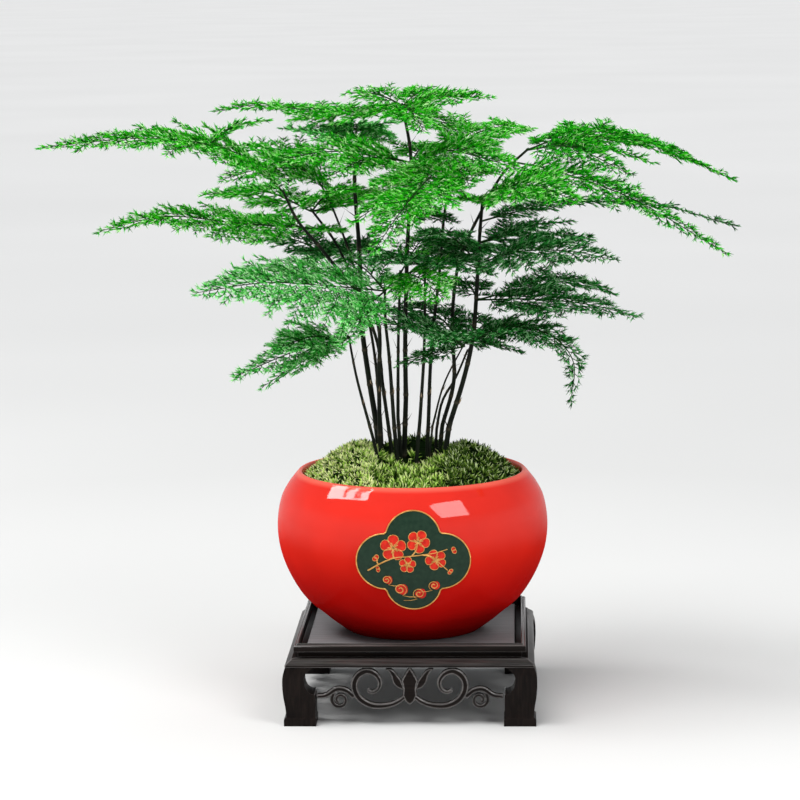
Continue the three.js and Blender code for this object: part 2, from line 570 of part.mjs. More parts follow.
function sprayBlade({ route, half, lean, bare, sag = 1 }) {
  const rib = new THREE.CatmullRomCurve3(route.map((p) => new THREE.Vector3(...p)), false, 'centripetal');
  const up = new THREE.Vector3(0, 0, 1);
  const pairs = Math.max(4, Math.round((rib.getLength() * (1 - bare)) / LEAFLET_STEP));
  const step = (1 - bare) / (pairs + 0.6);
  const turn = THREE.MathUtils.degToRad(lean);
  const points = [];
  const outline = [];

  function frameAt(t) {
    const along = rib.getTangentAt(t);
    const rise = up.clone().addScaledVector(along, -up.dot(along)).normalize();
    const normal = rise.clone().applyAxisAngle(along, turn).normalize();
    return { at: rib.getPointAt(t), along, normal, side: along.clone().cross(normal) };
  }

  // Each place in the outline is a pair of vertices, above and below the blade.
  function place(at, normal, thick) {
    const lift = normal.clone().multiplyScalar(thick / 2);
    points.push(at.clone().add(lift), at.clone().sub(lift));
    return points.length / 2 - 1;
  }

  const stations = [0];
  for (let i = 0; i < pairs; i += 1) {
    stations.push(bare + i * step, bare + (i + LEAFLET_SHARE) * step);
  }
  const edges = stations.map((t) => {
    const { at, normal, side } = frameAt(t);
    const width = RACHIS_HALF * (1 - 0.5 * t);
    return [1, -1].map((hand) => place(at.clone().addScaledVector(side, hand * width), normal, BLADE * 1.3));
  });
  const end = frameAt(1);
  const tip = place(end.at, end.normal, BLADE);

  const faces = [];
  const rims = [];
  for (let k = 0; k < stations.length - 1; k += 1) {
    const [l0, r0] = edges[k];
    const [l1, r1] = edges[k + 1];
    faces.push([l0, r0, r1], [l0, r1, l1]);
    if (k % 2 === 0) {
      rims.push([l1, l0], [r0, r1]);
    }
  }
  const [lastLeft, lastRight] = edges[stations.length - 1];
  faces.push([lastLeft, lastRight, tip]);
  rims.push([tip, lastLeft], [lastRight, tip], [edges[0][0], edges[0][1]]);

  for (let i = 0; i < pairs; i += 1) {
    const t = stations[2 * i + 1];
    const { at, along, normal, side } = frameAt(t);
    [1, -1].forEach((hand, h) => {
      const wobble = 0.86 + 0.14 * Math.sin(5.1 * i + 2.3 * h + half);
      const length = half * leafletLength((t - bare) / (1 - bare)) * wobble;
      const spot = at.clone()
        .addScaledVector(side, hand * length * Math.sin(LEAFLET_ANGLE))
        .addScaledVector(along, length * Math.cos(LEAFLET_ANGLE));
      spot.z -= sag * LEAFLET_SAG * length * length;
      const point = place(spot, normal, BLADE * 0.85);
      const near = edges[2 * i + 1][h];
      const far = edges[2 * i + 2][h];
      if (hand > 0) {
        faces.push([near, far, point]);
        rims.push([far, point], [point, near]);
      } else {
        faces.push([far, near, point]);
        rims.push([near, point], [point, far]);
      }
    });
  }

  const triangles = [];
  for (const [a, b, c] of faces) {
    triangles.push([2 * a, 2 * c, 2 * b], [2 * a + 1, 2 * b + 1, 2 * c + 1]);
  }
  for (const [a, b] of rims) {
    triangles.push([2 * a, 2 * b + 1, 2 * a + 1], [2 * a, 2 * b, 2 * b + 1]);
  }
  return solidFrom(points, triangles);
}

for (const [name, { look, hub, sprays }] of Object.entries(FRONDS)) {
  const pieces = sprays.map(sprayBlade);
  if (hub) {
    const line = [sprays[0].route[0], hub].map((p) => new THREE.Vector3(...p));
    pieces.push(sweep(line, () => HUB_RADIUS, 0, CANE_SIDES));
  }
  const whole = Manifold.union(pieces);
  addNode(name, geometryOf(largestPart(whole.subtract(caneHoles))), paint[look]);
}

export default plant;
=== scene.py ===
import math

import bpy
import numpy as np
from mathutils import Matrix, Vector


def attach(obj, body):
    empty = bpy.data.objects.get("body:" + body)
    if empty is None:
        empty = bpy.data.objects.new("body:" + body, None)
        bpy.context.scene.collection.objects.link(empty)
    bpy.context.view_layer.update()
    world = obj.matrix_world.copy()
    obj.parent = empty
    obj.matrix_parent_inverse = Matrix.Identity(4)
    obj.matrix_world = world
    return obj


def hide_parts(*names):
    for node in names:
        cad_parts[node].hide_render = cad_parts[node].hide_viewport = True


# A lace fern in a red glazed bowl on a carved wooden stand.
# Shapes are worked out in millimetres and made in metres. The front is -Y.

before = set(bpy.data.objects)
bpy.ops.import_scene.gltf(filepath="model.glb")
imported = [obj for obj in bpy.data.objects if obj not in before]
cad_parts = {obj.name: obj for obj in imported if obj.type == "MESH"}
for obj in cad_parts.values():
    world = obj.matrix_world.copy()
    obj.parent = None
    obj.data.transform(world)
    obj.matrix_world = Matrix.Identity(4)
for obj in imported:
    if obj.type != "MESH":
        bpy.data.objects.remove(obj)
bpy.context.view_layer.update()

MM = 0.001
TURN = 2 * math.pi
SIDES = ("front", "right", "back", "left")
CORNERS = ("front_left", "front_right", "back_right", "back_left")


# Finishes


class Field:
    """A value that changes over a surface, with plain arithmetic."""

    def __init__(self, finish, socket):
        self.finish = finish
        self.socket = socket

    def maths(self, operation, other):
        return self.finish.node("ShaderNodeMath", {"operation": operation}, {0: self, 1: other})

    def __add__(self, other):
        return self.maths("ADD", other)

    def __mul__(self, other):
        return self.maths("MULTIPLY", other)

    __radd__ = __add__
    __rmul__ = __mul__


class Nodes:
    """A node tree that grows one node at a time."""

    def __init__(self, tree):
        self.tree = tree

    def node(self, kind, settings, sockets, out=0):
        """A new node: its settings, then the values or links of its sockets. Gives one output."""
        made = self.tree.nodes.new(kind)
        for key, value in settings.items():
            if key == "curve":
                made.color_ramp.interpolation = value
            elif key == "stops":
                ramp = made.color_ramp
                while len(ramp.elements) < len(value):
                    ramp.elements.new(1)
                for stop, (position, colour) in zip(ramp.elements, value):
                    stop.position = position
                    stop.color = (*colour, 1)
            else:
                setattr(made, key, value)
        for key, value in sockets.items():
            if isinstance(value, Field):
                self.tree.links.new(value.socket, made.inputs[key])
            else:
                made.inputs[key].default_value = value
        return Field(self, made.outputs[out])

    def ramp(self, value, *stops, curve="LINEAR"):
        """Colours along a value, each stop a position and a colour."""
        return self.node("ShaderNodeValToRGB", {"stops": stops, "curve": curve}, {0: value})


class Finish(Nodes):
    """A material made of nodes around one shader."""

    def __init__(self, name, constants):
        self.material = bpy.data.materials.new(name)
        self.material.use_nodes = True
        super().__init__(self.material.node_tree)
        self.shader = self.tree.nodes["Principled BSDF"]
        for socket, value in constants.items():
            self.shader.inputs[socket].default_value = value
        self.place = self.node("ShaderNodeTexCoord", {}, {}, "Object")

    def noise(self, grain, detail=3, stretch=(1, 1, 1)):
        """Soft blotches of about this many millimetres."""
        spot = self.node("ShaderNodeMapping", {}, {"Vector": self.place, "Scale": stretch})
        sockets = {"Vector": spot, "Scale": 1 / (grain * MM), "Detail": detail}
        return self.node("ShaderNodeTexNoise", {}, sockets)

    def between(self, value, first, second, low=0.3, high=0.7):
        """Goes from one colour to another as the value goes from low to high."""
        return self.ramp(value, (low, first), (high, second))

    def rise(self, value, low, high):
        """Goes smoothly from 0 to 1 as a length goes from low to high, in millimetres."""
        sockets = {"Value": value, "From Min": low * MM, "From Max": high * MM}
        return self.node("ShaderNodeMapRange", {"interpolation_type": "SMOOTHSTEP"}, sockets)

    def length(self, value):
        return self.node("ShaderNodeVectorMath", {"operation": "LENGTH"}, {0: value}, "Value")

    def painted(self, name):
        """The value of a mesh's own attribute."""
        return self.node("ShaderNodeAttribute", {"attribute_name": name}, {}, "Fac")

    def mix(self, share, first, second, blend="MIX"):
        settings = {"data_type": "RGBA", "blend_type": blend}
        return self.node("ShaderNodeMix", settings, {0: share, 6: first, 7: second}, 2)

    def bump(self, height, depth, strength=1.0):
        sockets = {"Height": height, "Distance": depth * MM, "Strength": strength}
        self.set("Normal", self.node("ShaderNodeBump", {}, sockets))

    def set(self, socket, value):
        self.tree.links.new(value.socket, self.shader.inputs[socket])


def wood_finish(name, stretch):
    """Black-brown lacquered hardwood with its grain along one way, and a painted highlight on its marked
    edges and slopes.
    """
    wood = Finish(name, {"Specular IOR Level": 0.05, "Coat Roughness": 0.14, "Coat IOR": 1.6})
    grain = wood.noise(1.6, 4, stretch)
    patches = wood.noise(22, 2)
    polish = wood.painted("polish")
    colour = wood.between(grain * 0.7 + patches * 0.3, (0.0025, 0.002, 0.002), (0.013, 0.009, 0.0075))
    # Painted highlight: marked edges and slopes take this lighter grey and more coat.
    highlight_colour = wood.between(grain, (0.035, 0.031, 0.029), (0.115, 0.106, 0.102))
    wood.set("Base Color", wood.mix(polish, colour, highlight_colour))
    wood.set("Roughness", 0.3 + 0.2 * patches + 0.1 * grain)
    wood.set("Coat Weight", 0.03 + 0.8 * polish)
    wood.bump(grain, 0.12, 0.5)
    return wood


def panel_finish():
    """The matt board under the bowl, black lacquer with its sheen painted in as a grey colour."""
    board = Finish("board_painted_sheen", {"Specular IOR Level": 0.3})
    grain = board.noise(1.4, 4, (0.06, 1, 1))
    wear = board.noise(30, 3)
    # Painted sheen: a grey colour in place of the black lacquer's reflection.
    colour = board.between(0.6 * grain + 0.4 * wear, (0.095, 0.096, 0.098), (0.205, 0.207, 0.210), high=0.75)
    board.set("Base Color", colour)
    board.set("Roughness", 0.3 + 0.2 * wear)
    board.bump(grain, 0.1, 0.6)
    return board


def glaze_finish():
    """Thick red glaze over earthenware, less glossy towards the foot. Painted shade darkens its colour
    towards the foot, and a painted highlight makes the rim and the inside of the mouth paler.
    """
    glaze = Finish("glaze_red", {"Specular IOR Level": 0.0, "Coat Roughness": 0.05, "Coat IOR": 1.8})
    height = glaze.node("ShaderNodeSeparateXYZ", {}, {0: glaze.place}, "Z")
    above = glaze.rise(height, 45, 135)
    gloss = glaze.rise(height, 106, 138)
    lip_highlight = glaze.rise(height, 151, 154)
    cloud = glaze.noise(38, 2)
    # Painted shade: the colour darkens towards the foot.
    body = glaze.ramp(above, (0.0, (0.34, 0.003, 0.003)), (0.45, (0.48, 0.006, 0.004)),
                      (1.0, (0.70, 0.021, 0.010)))
    flat = glaze.node("ShaderNodeVectorMath", {"operation": "MULTIPLY"}, {0: glaze.place, 1: (1, 1, 0)})
    # Painted light: the inside of the mouth, where the glaze is glossy, turns paler.
    inner = glaze.rise(glaze.length(flat), 73, 72)
    # Painted highlight: the rim and the inside of the mouth mix towards this pale red.
    colour = glaze.mix(lip_highlight * 0.42 + inner * gloss * 0.6, body, (0.96, 0.25, 0.17, 1))
    shade = glaze.between(cloud, (0.88, 0.86, 0.86), (1, 1, 1))
    glaze.set("Base Color", glaze.mix(1.0, colour, shade, "MULTIPLY"))
    glaze.set("Roughness", 0.16 + 0.10 * glaze.noise(9, 3))
    glaze.set("Coat Weight", 0.015 + 0.43 * gloss)
    glaze.bump(glaze.noise(12, 2), 0.02, 0.15)
    return glaze


def enamel_finish(name, dark, light, roughness, metal):
    """A painted or gilt relief on the glaze."""
    enamel = Finish(name, {"Metallic": metal, "Specular IOR Level": 0.15})
    mottle = enamel.noise(3, 3)
    enamel.set("Base Color", enamel.between(mottle, dark, light))
    enamel.set("Roughness", roughness + 0.15 * mottle)
    enamel.bump(enamel.noise(0.9, 2), 0.05, 0.4)
    return enamel


def soil_finish():
    soil = Finish("soil_dark", {"Specular IOR Level": 0.2})
    crumbs = soil.noise(2.2, 6)
    soil.set("Base Color", soil.between(crumbs, (0.008, 0.005, 0.003), (0.055, 0.034, 0.02)))
    soil.set("Roughness", 0.85 + 0.12 * crumbs)
    soil.bump(crumbs, 1.2)
    return soil


def leaf_finish(name, patch, roughness, stops, *colours):
    """Foliage: the tone attribute chooses the colour of each leaf; the whitish top stops are painted
    highlights.
    """
    leaf = Finish(name, {"Specular IOR Level": 0.02})
    patches = leaf.noise(patch, 2)
    colour = leaf.ramp(leaf.painted("tone"), *zip(stops, colours))
    shade = leaf.between(patches, (0.78, 0.82, 0.74), (1, 1, 1), 0.32, 0.68)
    leaf.set("Base Color", leaf.mix(1.0, colour, shade, "MULTIPLY"))
    leaf.set("Roughness", roughness + 0.2 * patches)
    return leaf


def cane_finish():
    """Dark wiry bark with a green cast and pale flecks."""
    bark = Finish("cane_bark", {"Specular IOR Level": 0.14})
    streaks = bark.noise(1.1, 3, (1, 1, 0.15))
    blotches = bark.noise(14, 3)
    colour = bark.between(0.55 * streaks + 0.45 * blotches, (0.002, 0.003, 0.002), (0.011, 0.016, 0.008),
                          0.34, 0.66)
    husk = bark.between(streaks, (0.22, 0.13, 0.06), (0.60, 0.48, 0.34))
    bark.set("Base Color", bark.mix(bark.painted("tone"), colour, husk))
    bark.set("Roughness", 0.42 + 0.35 * blotches)
    bark.bump(streaks, 0.15, 0.6)
    return bark


# Size of the patches, roughness, stops along the tone, and the first colours where they are shared
MOSS_TONES = (12, 0.6, (0, 0.3, 0.62, 1))
NEEDLE_TONES = (30, 0.55, (0, 0.14, 0.2, 0.55, 0.84, 1), (0.006, 0.022, 0.006), (0.020, 0.080, 0.014))
FINISHES = {
    "wood_x": wood_finish("lacquer_along_x", (0.05, 1, 1)),
    "wood_y": wood_finish("lacquer_along_y", (1, 0.05, 1)),
    "wood_z": wood_finish("lacquer_upright", (1, 1, 0.08)),
    "board": panel_finish(),
    "glaze": glaze_finish(),
    "field": enamel_finish("enamel_green", (0.009, 0.026, 0.015), (0.016, 0.038, 0.022), 0.25, 0.0),
    "gold": enamel_finish("gilt", (0.55, 0.26, 0.06), (0.84, 0.48, 0.15), 0.25, 0.6),
    "petal": enamel_finish("enamel_red", (0.45, 0.012, 0.008), (0.72, 0.03, 0.012), 0.25, 0.0),
    "soil": soil_finish(),
    # Painted light and shade: moss_bright and frond_bright are lit copies, moss_dark and frond_deep shaded
    # copies of the same foliage colours.
    "moss_bright": leaf_finish("moss_painted_lit", *MOSS_TONES, (0.006, 0.018, 0.002), (0.17, 0.36, 0.035),
                               (0.68, 0.96, 0.19), (1.0, 1.0, 0.55)),
    "moss_dark": leaf_finish("moss_shaded", *MOSS_TONES, (0.004, 0.012, 0.002), (0.05, 0.115, 0.014),
                             (0.24, 0.37, 0.06), (0.84, 0.94, 0.56)),
    "cane": cane_finish(),
    "frond_bright": leaf_finish("needles_painted_lit", *NEEDLE_TONES, (0.002, 0.045, 0.002), (0.008, 0.43, 0.006),
                                (0.085, 0.67, 0.02), (0.54, 0.90, 0.40)),
    "frond_deep": leaf_finish("needles_shaded", *NEEDLE_TONES, (0.003, 0.025, 0.005), (0.010, 0.13, 0.016),
                              (0.035, 0.33, 0.05), (0.40, 0.70, 0.38)),
    "frond_soft": leaf_finish("needles_soft", *NEEDLE_TONES, (0.004, 0.04, 0.008), (0.022, 0.36, 0.028),
                              (0.13, 0.74, 0.12), (0.54, 0.98, 0.48)),
}


# Working on one object at a time


def take(obj):
    """Makes obj the only selected and the active object."""
    bpy.ops.object.select_all(action="DESELECT")
    obj.select_set(True)
    bpy.context.view_layer.objects.active = obj


def start(name):
    """Names the object that was just added and leaves its edit mode."""
    bpy.ops.object.mode_set(mode="OBJECT")
    obj = bpy.context.object
    obj.name = obj.data.name = name
    return obj


def finish_mesh(obj, angle=35):
    take(obj)
    bpy.ops.object.transform_apply(location=True, rotation=True, scale=True)
    bpy.ops.object.shade_smooth_by_angle(angle=math.radians(angle))


def reshape(obj, kind, **settings):
    """Adds a modifier with these settings and applies it."""
    modifier = obj.modifiers.new("shape", kind)
    for key, value in settings.items():
        setattr(modifier, key, value)
    take(obj)
    bpy.ops.object.modifier_apply(modifier=modifier.name)


def soften(obj, width, segments=3, angle=40):
    """Rounds the edges between faces that meet at more than angle."""
    reshape(obj, "BEVEL", width=width * MM, segments=segments, limit_method="ANGLE",
            angle_limit=math.radians(angle), use_clamp_overlap=True)


def paint_edge_highlights(obj, slope):
    """Marks the narrow faces of rounded edges fully, and the slopes that face up and to the front by slope,
    for a painted highlight.
    """
    highlight_share = []
    for face in obj.data.polygons:
        spots = [obj.data.vertices[k].co for k in face.vertices]
        longest = max((a - b).length for a, b in zip(spots, spots[1:] + spots[:1]))
        narrow = face.area < 0.6 * MM * longest
        tilted = face.normal.z > 0.3 and face.normal.y < -0.3
        highlight_share += [1.0 if narrow else slope * tilted] * len(spots)
    polish = obj.data.attributes.new("polish", "FLOAT", "CORNER")
    polish.data.foreach_set("value", highlight_share)


def dress(obj, finish):
    obj.data.materials.clear()
    obj.data.materials.append(FINISHES[finish].material)


def settle(obj, finish, slot, *nodes):
    """Gives a new piece its finish and its place in the part."""
    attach(obj, "root")
    dress(obj, finish)
    if nodes:
        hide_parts(*nodes)


def trace(points):
    """Draws a chain of edges, vertex by vertex, in a new mesh that stays in edit mode."""
    spots = [Vector(point) * MM for point in points]
    bpy.ops.object.select_all(action="DESELECT")
    bpy.ops.mesh.primitive_plane_add(size=MM, enter_editmode=True)
    bpy.ops.mesh.merge(type="CENTER")
    bpy.ops.transform.translate(value=spots[0])
    for here, there in zip(spots, spots[1:]):
        bpy.ops.mesh.extrude_vertices_move(TRANSFORM_OT_translate={"value": there - here})


def weld(gap):
    """Merges the vertices of the open mesh that are closer than gap."""
    bpy.ops.mesh.select_all(action="SELECT")
    bpy.ops.mesh.remove_doubles(threshold=gap * MM)


def face_out():
    """Turns the faces of the open mesh outwards."""
    bpy.ops.mesh.select_all(action="SELECT")
    bpy.ops.mesh.normals_make_consistent(inside=False)


def plate(name, outline, depth):
    """A flat piece cut to a closed outline and as thick as depth says."""
    trace([*outline, outline[0]])
    weld(0.02)
    bpy.ops.mesh.edge_face_add()
    bpy.ops.mesh.extrude_region_move(TRANSFORM_OT_translate={"value": Vector(depth) * MM})
    face_out()
    return start(name)


def join(name, pieces):
    bpy.ops.object.select_all(action="DESELECT")
    for piece in pieces:
        piece.select_set(True)
    bpy.context.view_layer.objects.active = pieces[0]
    bpy.ops.object.join()
    pieces[0].name = pieces[0].data.name = name
    return pieces[0]


def moved_copy(obj, name, motion):
    """A copy with its own mesh, moved by a matrix."""
    copy = obj.copy()
    copy.data = obj.data.copy()
    copy.name = copy.data.name = name
    bpy.context.collection.objects.link(copy)
    copy.data.transform(motion)
    return copy


# Lines


def smooth_line(points, per):
    """A smooth line through points, with the same rule as the part's own routes."""
    spots = np.asarray(points, float)
    spots = np.vstack([2 * spots[0] - spots[1], spots, 2 * spots[-1] - spots[-2]])
    pieces = []
    share = np.linspace(0, 1, per, endpoint=False)[:, None]
    for a, b, c, d in zip(spots, spots[1:], spots[2:], spots[3:]):
        first, middle, last = (max(np.sum((v - u) ** 2) ** 0.25, 1e-4)
                               for u, v in ((a, b), (b, c), (c, d)))
        leave = ((b - a) / first - (c - a) / (first + middle) + (c - b) / middle) * middle
        arrive = ((c - b) / middle - (d - b) / (middle + last) + (d - c) / last) * middle
        pieces.append((2 * share**3 - 3 * share**2 + 1) * b + (share**3 - 2 * share**2 + share) * leave
                      + (3 * share**2 - 2 * share**3) * c + (share**3 - share**2) * arrive)
    return np.vstack([*pieces, spots[-2:-1]])


def line_length(line):
    return float(np.linalg.norm(np.diff(line, axis=0), axis=1).sum())


def at_share(line, share):
    """The points at these shares of a line's length."""
    reach = np.concatenate([[0], np.cumsum(np.linalg.norm(np.diff(line, axis=0), axis=1))])
    spot = np.clip(share, 0, 1) * reach[-1]
    return np.stack([np.interp(spot, reach, line[:, k]) for k in range(line.shape[1])], 1)


def unit(vectors):
    return vectors / np.maximum(np.linalg.norm(vectors, axis=-1, keepdims=True), 1e-9)


def way_at(line, share):
    """The directions of a line at these shares of its length."""
    return unit(at_share(line, share + 0.01) - at_share(line, share - 0.01))


# Meshes of many small parts


def triangle(middle, half, one, other):
    """Three corners about each middle, in the plane of two directions."""
    return [middle + half * (one * math.cos(turn) + other * math.sin(turn))
            for turn in (0, TURN / 3, 2 * TURN / 3)]


def walls(rings, sides):
    """The triangles between rings of corners that follow one another."""
    faces = []
    for k in range(rings - 1):
        for j in range(sides):
            a, b = k * sides + j, k * sides + (j + 1) % sides
            faces += [(a, b, b + sides), (a, b + sides, a + sides)]
    return faces


class Bundle:
    """Collects small closed shapes and makes one mesh of them."""

    def __init__(self):
        self.points = []
        self.faces = []
        self.tones = []
        self.count = 0

    def add(self, points, faces, tones):
        """points is (shapes, corners, 3) in millimetres and faces the triangles of one shape."""
        shapes, corners = points.shape[:2]
        first = self.count + corners * np.arange(shapes)
        self.points.append(points.reshape(-1, 3))
        self.faces.append((first[:, None, None] + np.asarray(faces)[None]).reshape(-1, 3))
        self.tones.append(np.broadcast_to(tones, (shapes, corners)).reshape(-1))
        self.count += shapes * corners

    def spikes(self, root, aim, length, width, tone):
        """Thin pointed needles with three sides."""
        helper = np.where(np.abs(aim[:, 2:3]) < 0.9, [[0, 0, 1.0]], [[1.0, 0, 0]])
        one = unit(np.cross(aim, helper))
        half = np.broadcast_to(width, len(root))[:, None] / 2
        corners = triangle(root, half, one, np.cross(aim, one))
        tip = root + aim * np.broadcast_to(length, len(root))[:, None]
        tones = np.clip(np.broadcast_to(tone, len(root)), 0, 1)[:, None]
        self.add(np.stack([*corners, tip], 1), [(0, 1, 3), (1, 2, 3), (2, 0, 3), (0, 2, 1)], tones)

    def pairs(self, root, ahead, broad, length, spread, width, tone, lift):
        """Two needles that leave a twig on opposite sides, as one bent spindle."""
        corners = triangle(root, width / 2, ahead, np.cross(ahead, broad))
        tips = []
        for hand, angle, reach in zip((1, -1), spread[:, :, None], length[:, :, None]):
            tips.append(root + (ahead * np.cos(angle) + hand * broad * np.sin(angle)) * reach)
        # Painted highlight: the two needle tips are lift lighter than the root.
        tones = tone[:, None] + np.array([[0, 0, 0, lift, lift]])
        self.add(np.stack([*corners, *tips], 1),
                 [(1, 0, 3), (2, 1, 3), (0, 2, 3), (0, 1, 4), (1, 2, 4), (2, 0, 4)], np.clip(tones, 0, 1))

    def leaves(self, root, aim, side, length, width, tone, lift):
        """Lance-shaped leaves: a point at each end and a flat three-sided waist."""
        above = np.cross(side, aim)
        half = width[:, None] / 2
        waist = root + aim * (0.45 * length)[:, None]
        corners = [waist + side * half, waist - side * half, waist + above * half * 0.6]
        # Painted shade at the leaf's root, 0.4 darker, and a painted highlight at its tip, lift lighter.
        tones = tone[:, None] + np.array([[-0.4, 0, 0, 0.04, 0]])
        tones[:, 4] += lift
        self.add(np.stack([root, *corners, root + aim * length[:, None]], 1),
                 [(0, 2, 1), (0, 3, 2), (0, 1, 3), (4, 1, 2), (4, 2, 3), (4, 3, 1)], np.clip(tones, 0, 1))

    def tubes(self, lines, radii, sides, tone, helper=(0, 0, 1)):
        """Round bars: lines is (bars, stations, 3) and radii is (bars, stations)."""
        bars, stations = lines.shape[:2]
        way = unit(np.gradient(lines, axis=1))
        one = unit(np.cross(way, np.broadcast_to(np.asarray(helper, float), way.shape)))
        other = np.cross(way, one)
        turn = np.arange(sides) * TURN / sides
        ring = one[:, :, None] * np.cos(turn)[:, None] + other[:, :, None] * np.sin(turn)[:, None]
        points = lines[:, :, None] + radii[:, :, None, None] * ring
        points = points.reshape(bars, stations * sides, 3)
        faces = walls(stations, sides)
        last = (stations - 1) * sides
        for j in range(1, sides - 1):
            faces += [(0, j + 1, j), (last, last + j, last + j + 1)]
        self.add(points, faces, np.broadcast_to(np.asarray(tone, float), (bars, points.shape[1])))

    def build(self, name, smooth=False):
        points = (np.concatenate(self.points) * MM).astype(np.float32)
        faces = np.concatenate(self.faces).astype(np.int32)
        mesh = bpy.data.meshes.new(name)
        mesh.vertices.add(len(points))
        mesh.vertices.foreach_set("co", points.ravel())
        mesh.loops.add(faces.size)
        mesh.loops.foreach_set("vertex_index", faces.ravel())
        mesh.polygons.add(len(faces))
        mesh.polygons.foreach_set("loop_start", np.arange(len(faces), dtype=np.int32) * 3)
        mesh.polygons.foreach_set("use_smooth", np.full(len(faces), smooth))
        tone = mesh.attributes.new("tone", "FLOAT", "POINT")
        tone.data.foreach_set("value", np.concatenate(self.tones).astype(np.float32))
        mesh.update(calc_edges=True)
        mesh.validate()
        obj = bpy.data.objects.new(name, mesh)
        bpy.context.collection.objects.link(obj)
        return obj


# Camera, floor and light


def set_camera():
    """The photograph's place and viewing angle, level within about half a degree."""
    yaw, pitch, roll = (math.radians(angle) for angle in (2.259, 8.421, -0.552))
    ahead = Vector((-math.sin(yaw) * math.cos(pitch), math.cos(yaw) * math.cos(pitch), -math.sin(pitch)))
    right = Vector((math.cos(yaw), math.sin(yaw), 0))
    up = right.cross(ahead)
    across = math.cos(roll) * right + math.sin(roll) * up
    above = math.cos(roll) * up - math.sin(roll) * right
    bpy.ops.object.camera_add(location=(0.0684, -1.926, 0.4858))
    camera = bpy.context.object
    camera.name = "camera"
    camera.rotation_euler = Matrix((across, above, -ahead)).transposed().to_euler()
    camera.data.sensor_fit = "HORIZONTAL"
    camera.data.sensor_width = 36
    camera.data.lens = 132.63
    camera.data.clip_end = 100
    bpy.context.scene.camera = camera


def softbox(name, place, aim, size, watts, turn=0):
    bpy.ops.object.light_add(type="AREA", location=place)
    lamp = bpy.context.object
    lamp.name = name
    lamp.data.shape = "RECTANGLE"
    lamp.data.size, lamp.data.size_y = size
    lamp.data.energy = watts
    ahead = (Vector(aim) - Vector(place)).to_track_quat("-Z", "Y").to_matrix()
    lamp.rotation_euler = (ahead @ Matrix.Rotation(math.radians(turn), 3, "Z")).to_euler()


def set_floor():
    """A pale paper floor that turns paler far from the part."""
    bpy.ops.mesh.primitive_plane_add(size=140)
    floor = bpy.context.object
    floor.name = "floor"
    paper = Finish("floor_paper", {"Roughness": 0.85, "Specular IOR Level": 0.1, "Emission Strength": 1.0})
    paper.set("Base Color", paper.between(paper.noise(900, 1), (0.60, 0.60, 0.59), (0.63, 0.63, 0.62)))
    far = paper.length(paper.place) * 0.167
    glow = ((0.15, 0), (0.3, 0.15), (0.52, 0.26), (0.97, 0.3))
    paper.set("Emission Color", paper.ramp(far, *[(spot, (grey, grey, grey)) for spot, grey in glow]))
    floor.data.materials.append(paper.material)


def set_sky():
    """A soft surround that is palest at the horizon."""
    world = bpy.data.worlds.new("studio")
    world.use_nodes = True
    sky = Nodes(world.node_tree)
    direction = sky.node("ShaderNodeTexCoord", {}, {}, "Generated")
    height = sky.node("ShaderNodeSeparateXYZ", {}, {0: direction}, "Z")
    colour = sky.ramp(height, (0, (0.74, 0.745, 0.75)), (0.5, (0.31, 0.317, 0.335)), curve="EASE")
    sky.tree.links.new(colour.socket, sky.tree.nodes["Background"].inputs["Color"])
    bpy.context.scene.world = world
    bpy.context.scene.view_settings.view_transform = "Standard"


def set_lights():
    bpy.ops.object.light_add(type="SUN", location=(0, 0, 3))
    sun = bpy.context.object
    sun.name = "skylight"
    sun.data.energy = 1.7
    sun.data.angle = math.radians(35)
    sun.visible_glossy = False
    sun.rotation_euler = Vector((-0.5, -0.75, 1.6)).to_track_quat("Z", "Y").to_euler()
    middle = (0, -0.07, 0.14)
    softbox("window_left", (-1.26, -0.12, 1.70), middle, (1.15, 0.5), 26, 43)
    softbox("window_right", (1.0, -1.15, 1.4), middle, (0.85, 0.9), 17)
    softbox("window_top", (0, 0.35, 2.4), middle, (1.2, 1.1), 10)


set_camera()
set_floor()
set_sky()
set_lights()


# Stand

FRET_BACK = -74.6
MITRE_GAP = 0.12
BOARD = (67.6, 45.9, 48)


def band(line, widths, steps):
    """The outline of a band of changing width along a smooth line in the fret's plane."""
    points = smooth_line(line, 20)
    share = np.linspace(0, 1, steps)
    spot = at_share(points, share)
    way = way_at(points, share)
    half = np.interp(share, np.linspace(0, 1, len(widths)), widths)[:, None] / 2
    across = np.stack([-way[:, 1], way[:, 0]], 1)
    return np.vstack([spot + across * half, (spot - across * half)[::-1]])


def spiral(middle, outer, inner, begin, turns, count):
    share = np.linspace(0, 1, count)
    angle = begin + turns * TURN * share
    radius = outer + (inner - outer) * share
    return np.stack([middle[0] + radius * np.cos(angle), middle[1] + radius * np.sin(angle)], 1)


def upright(outline, face, edge):
    """A carved plate of the fret. Its face stands at -Y and its edges are rounded."""
    made = plate("carving", [(x, FRET_BACK, z) for x, z in outline], (0, face - FRET_BACK, 0))
    soften(made, edge)
    return made


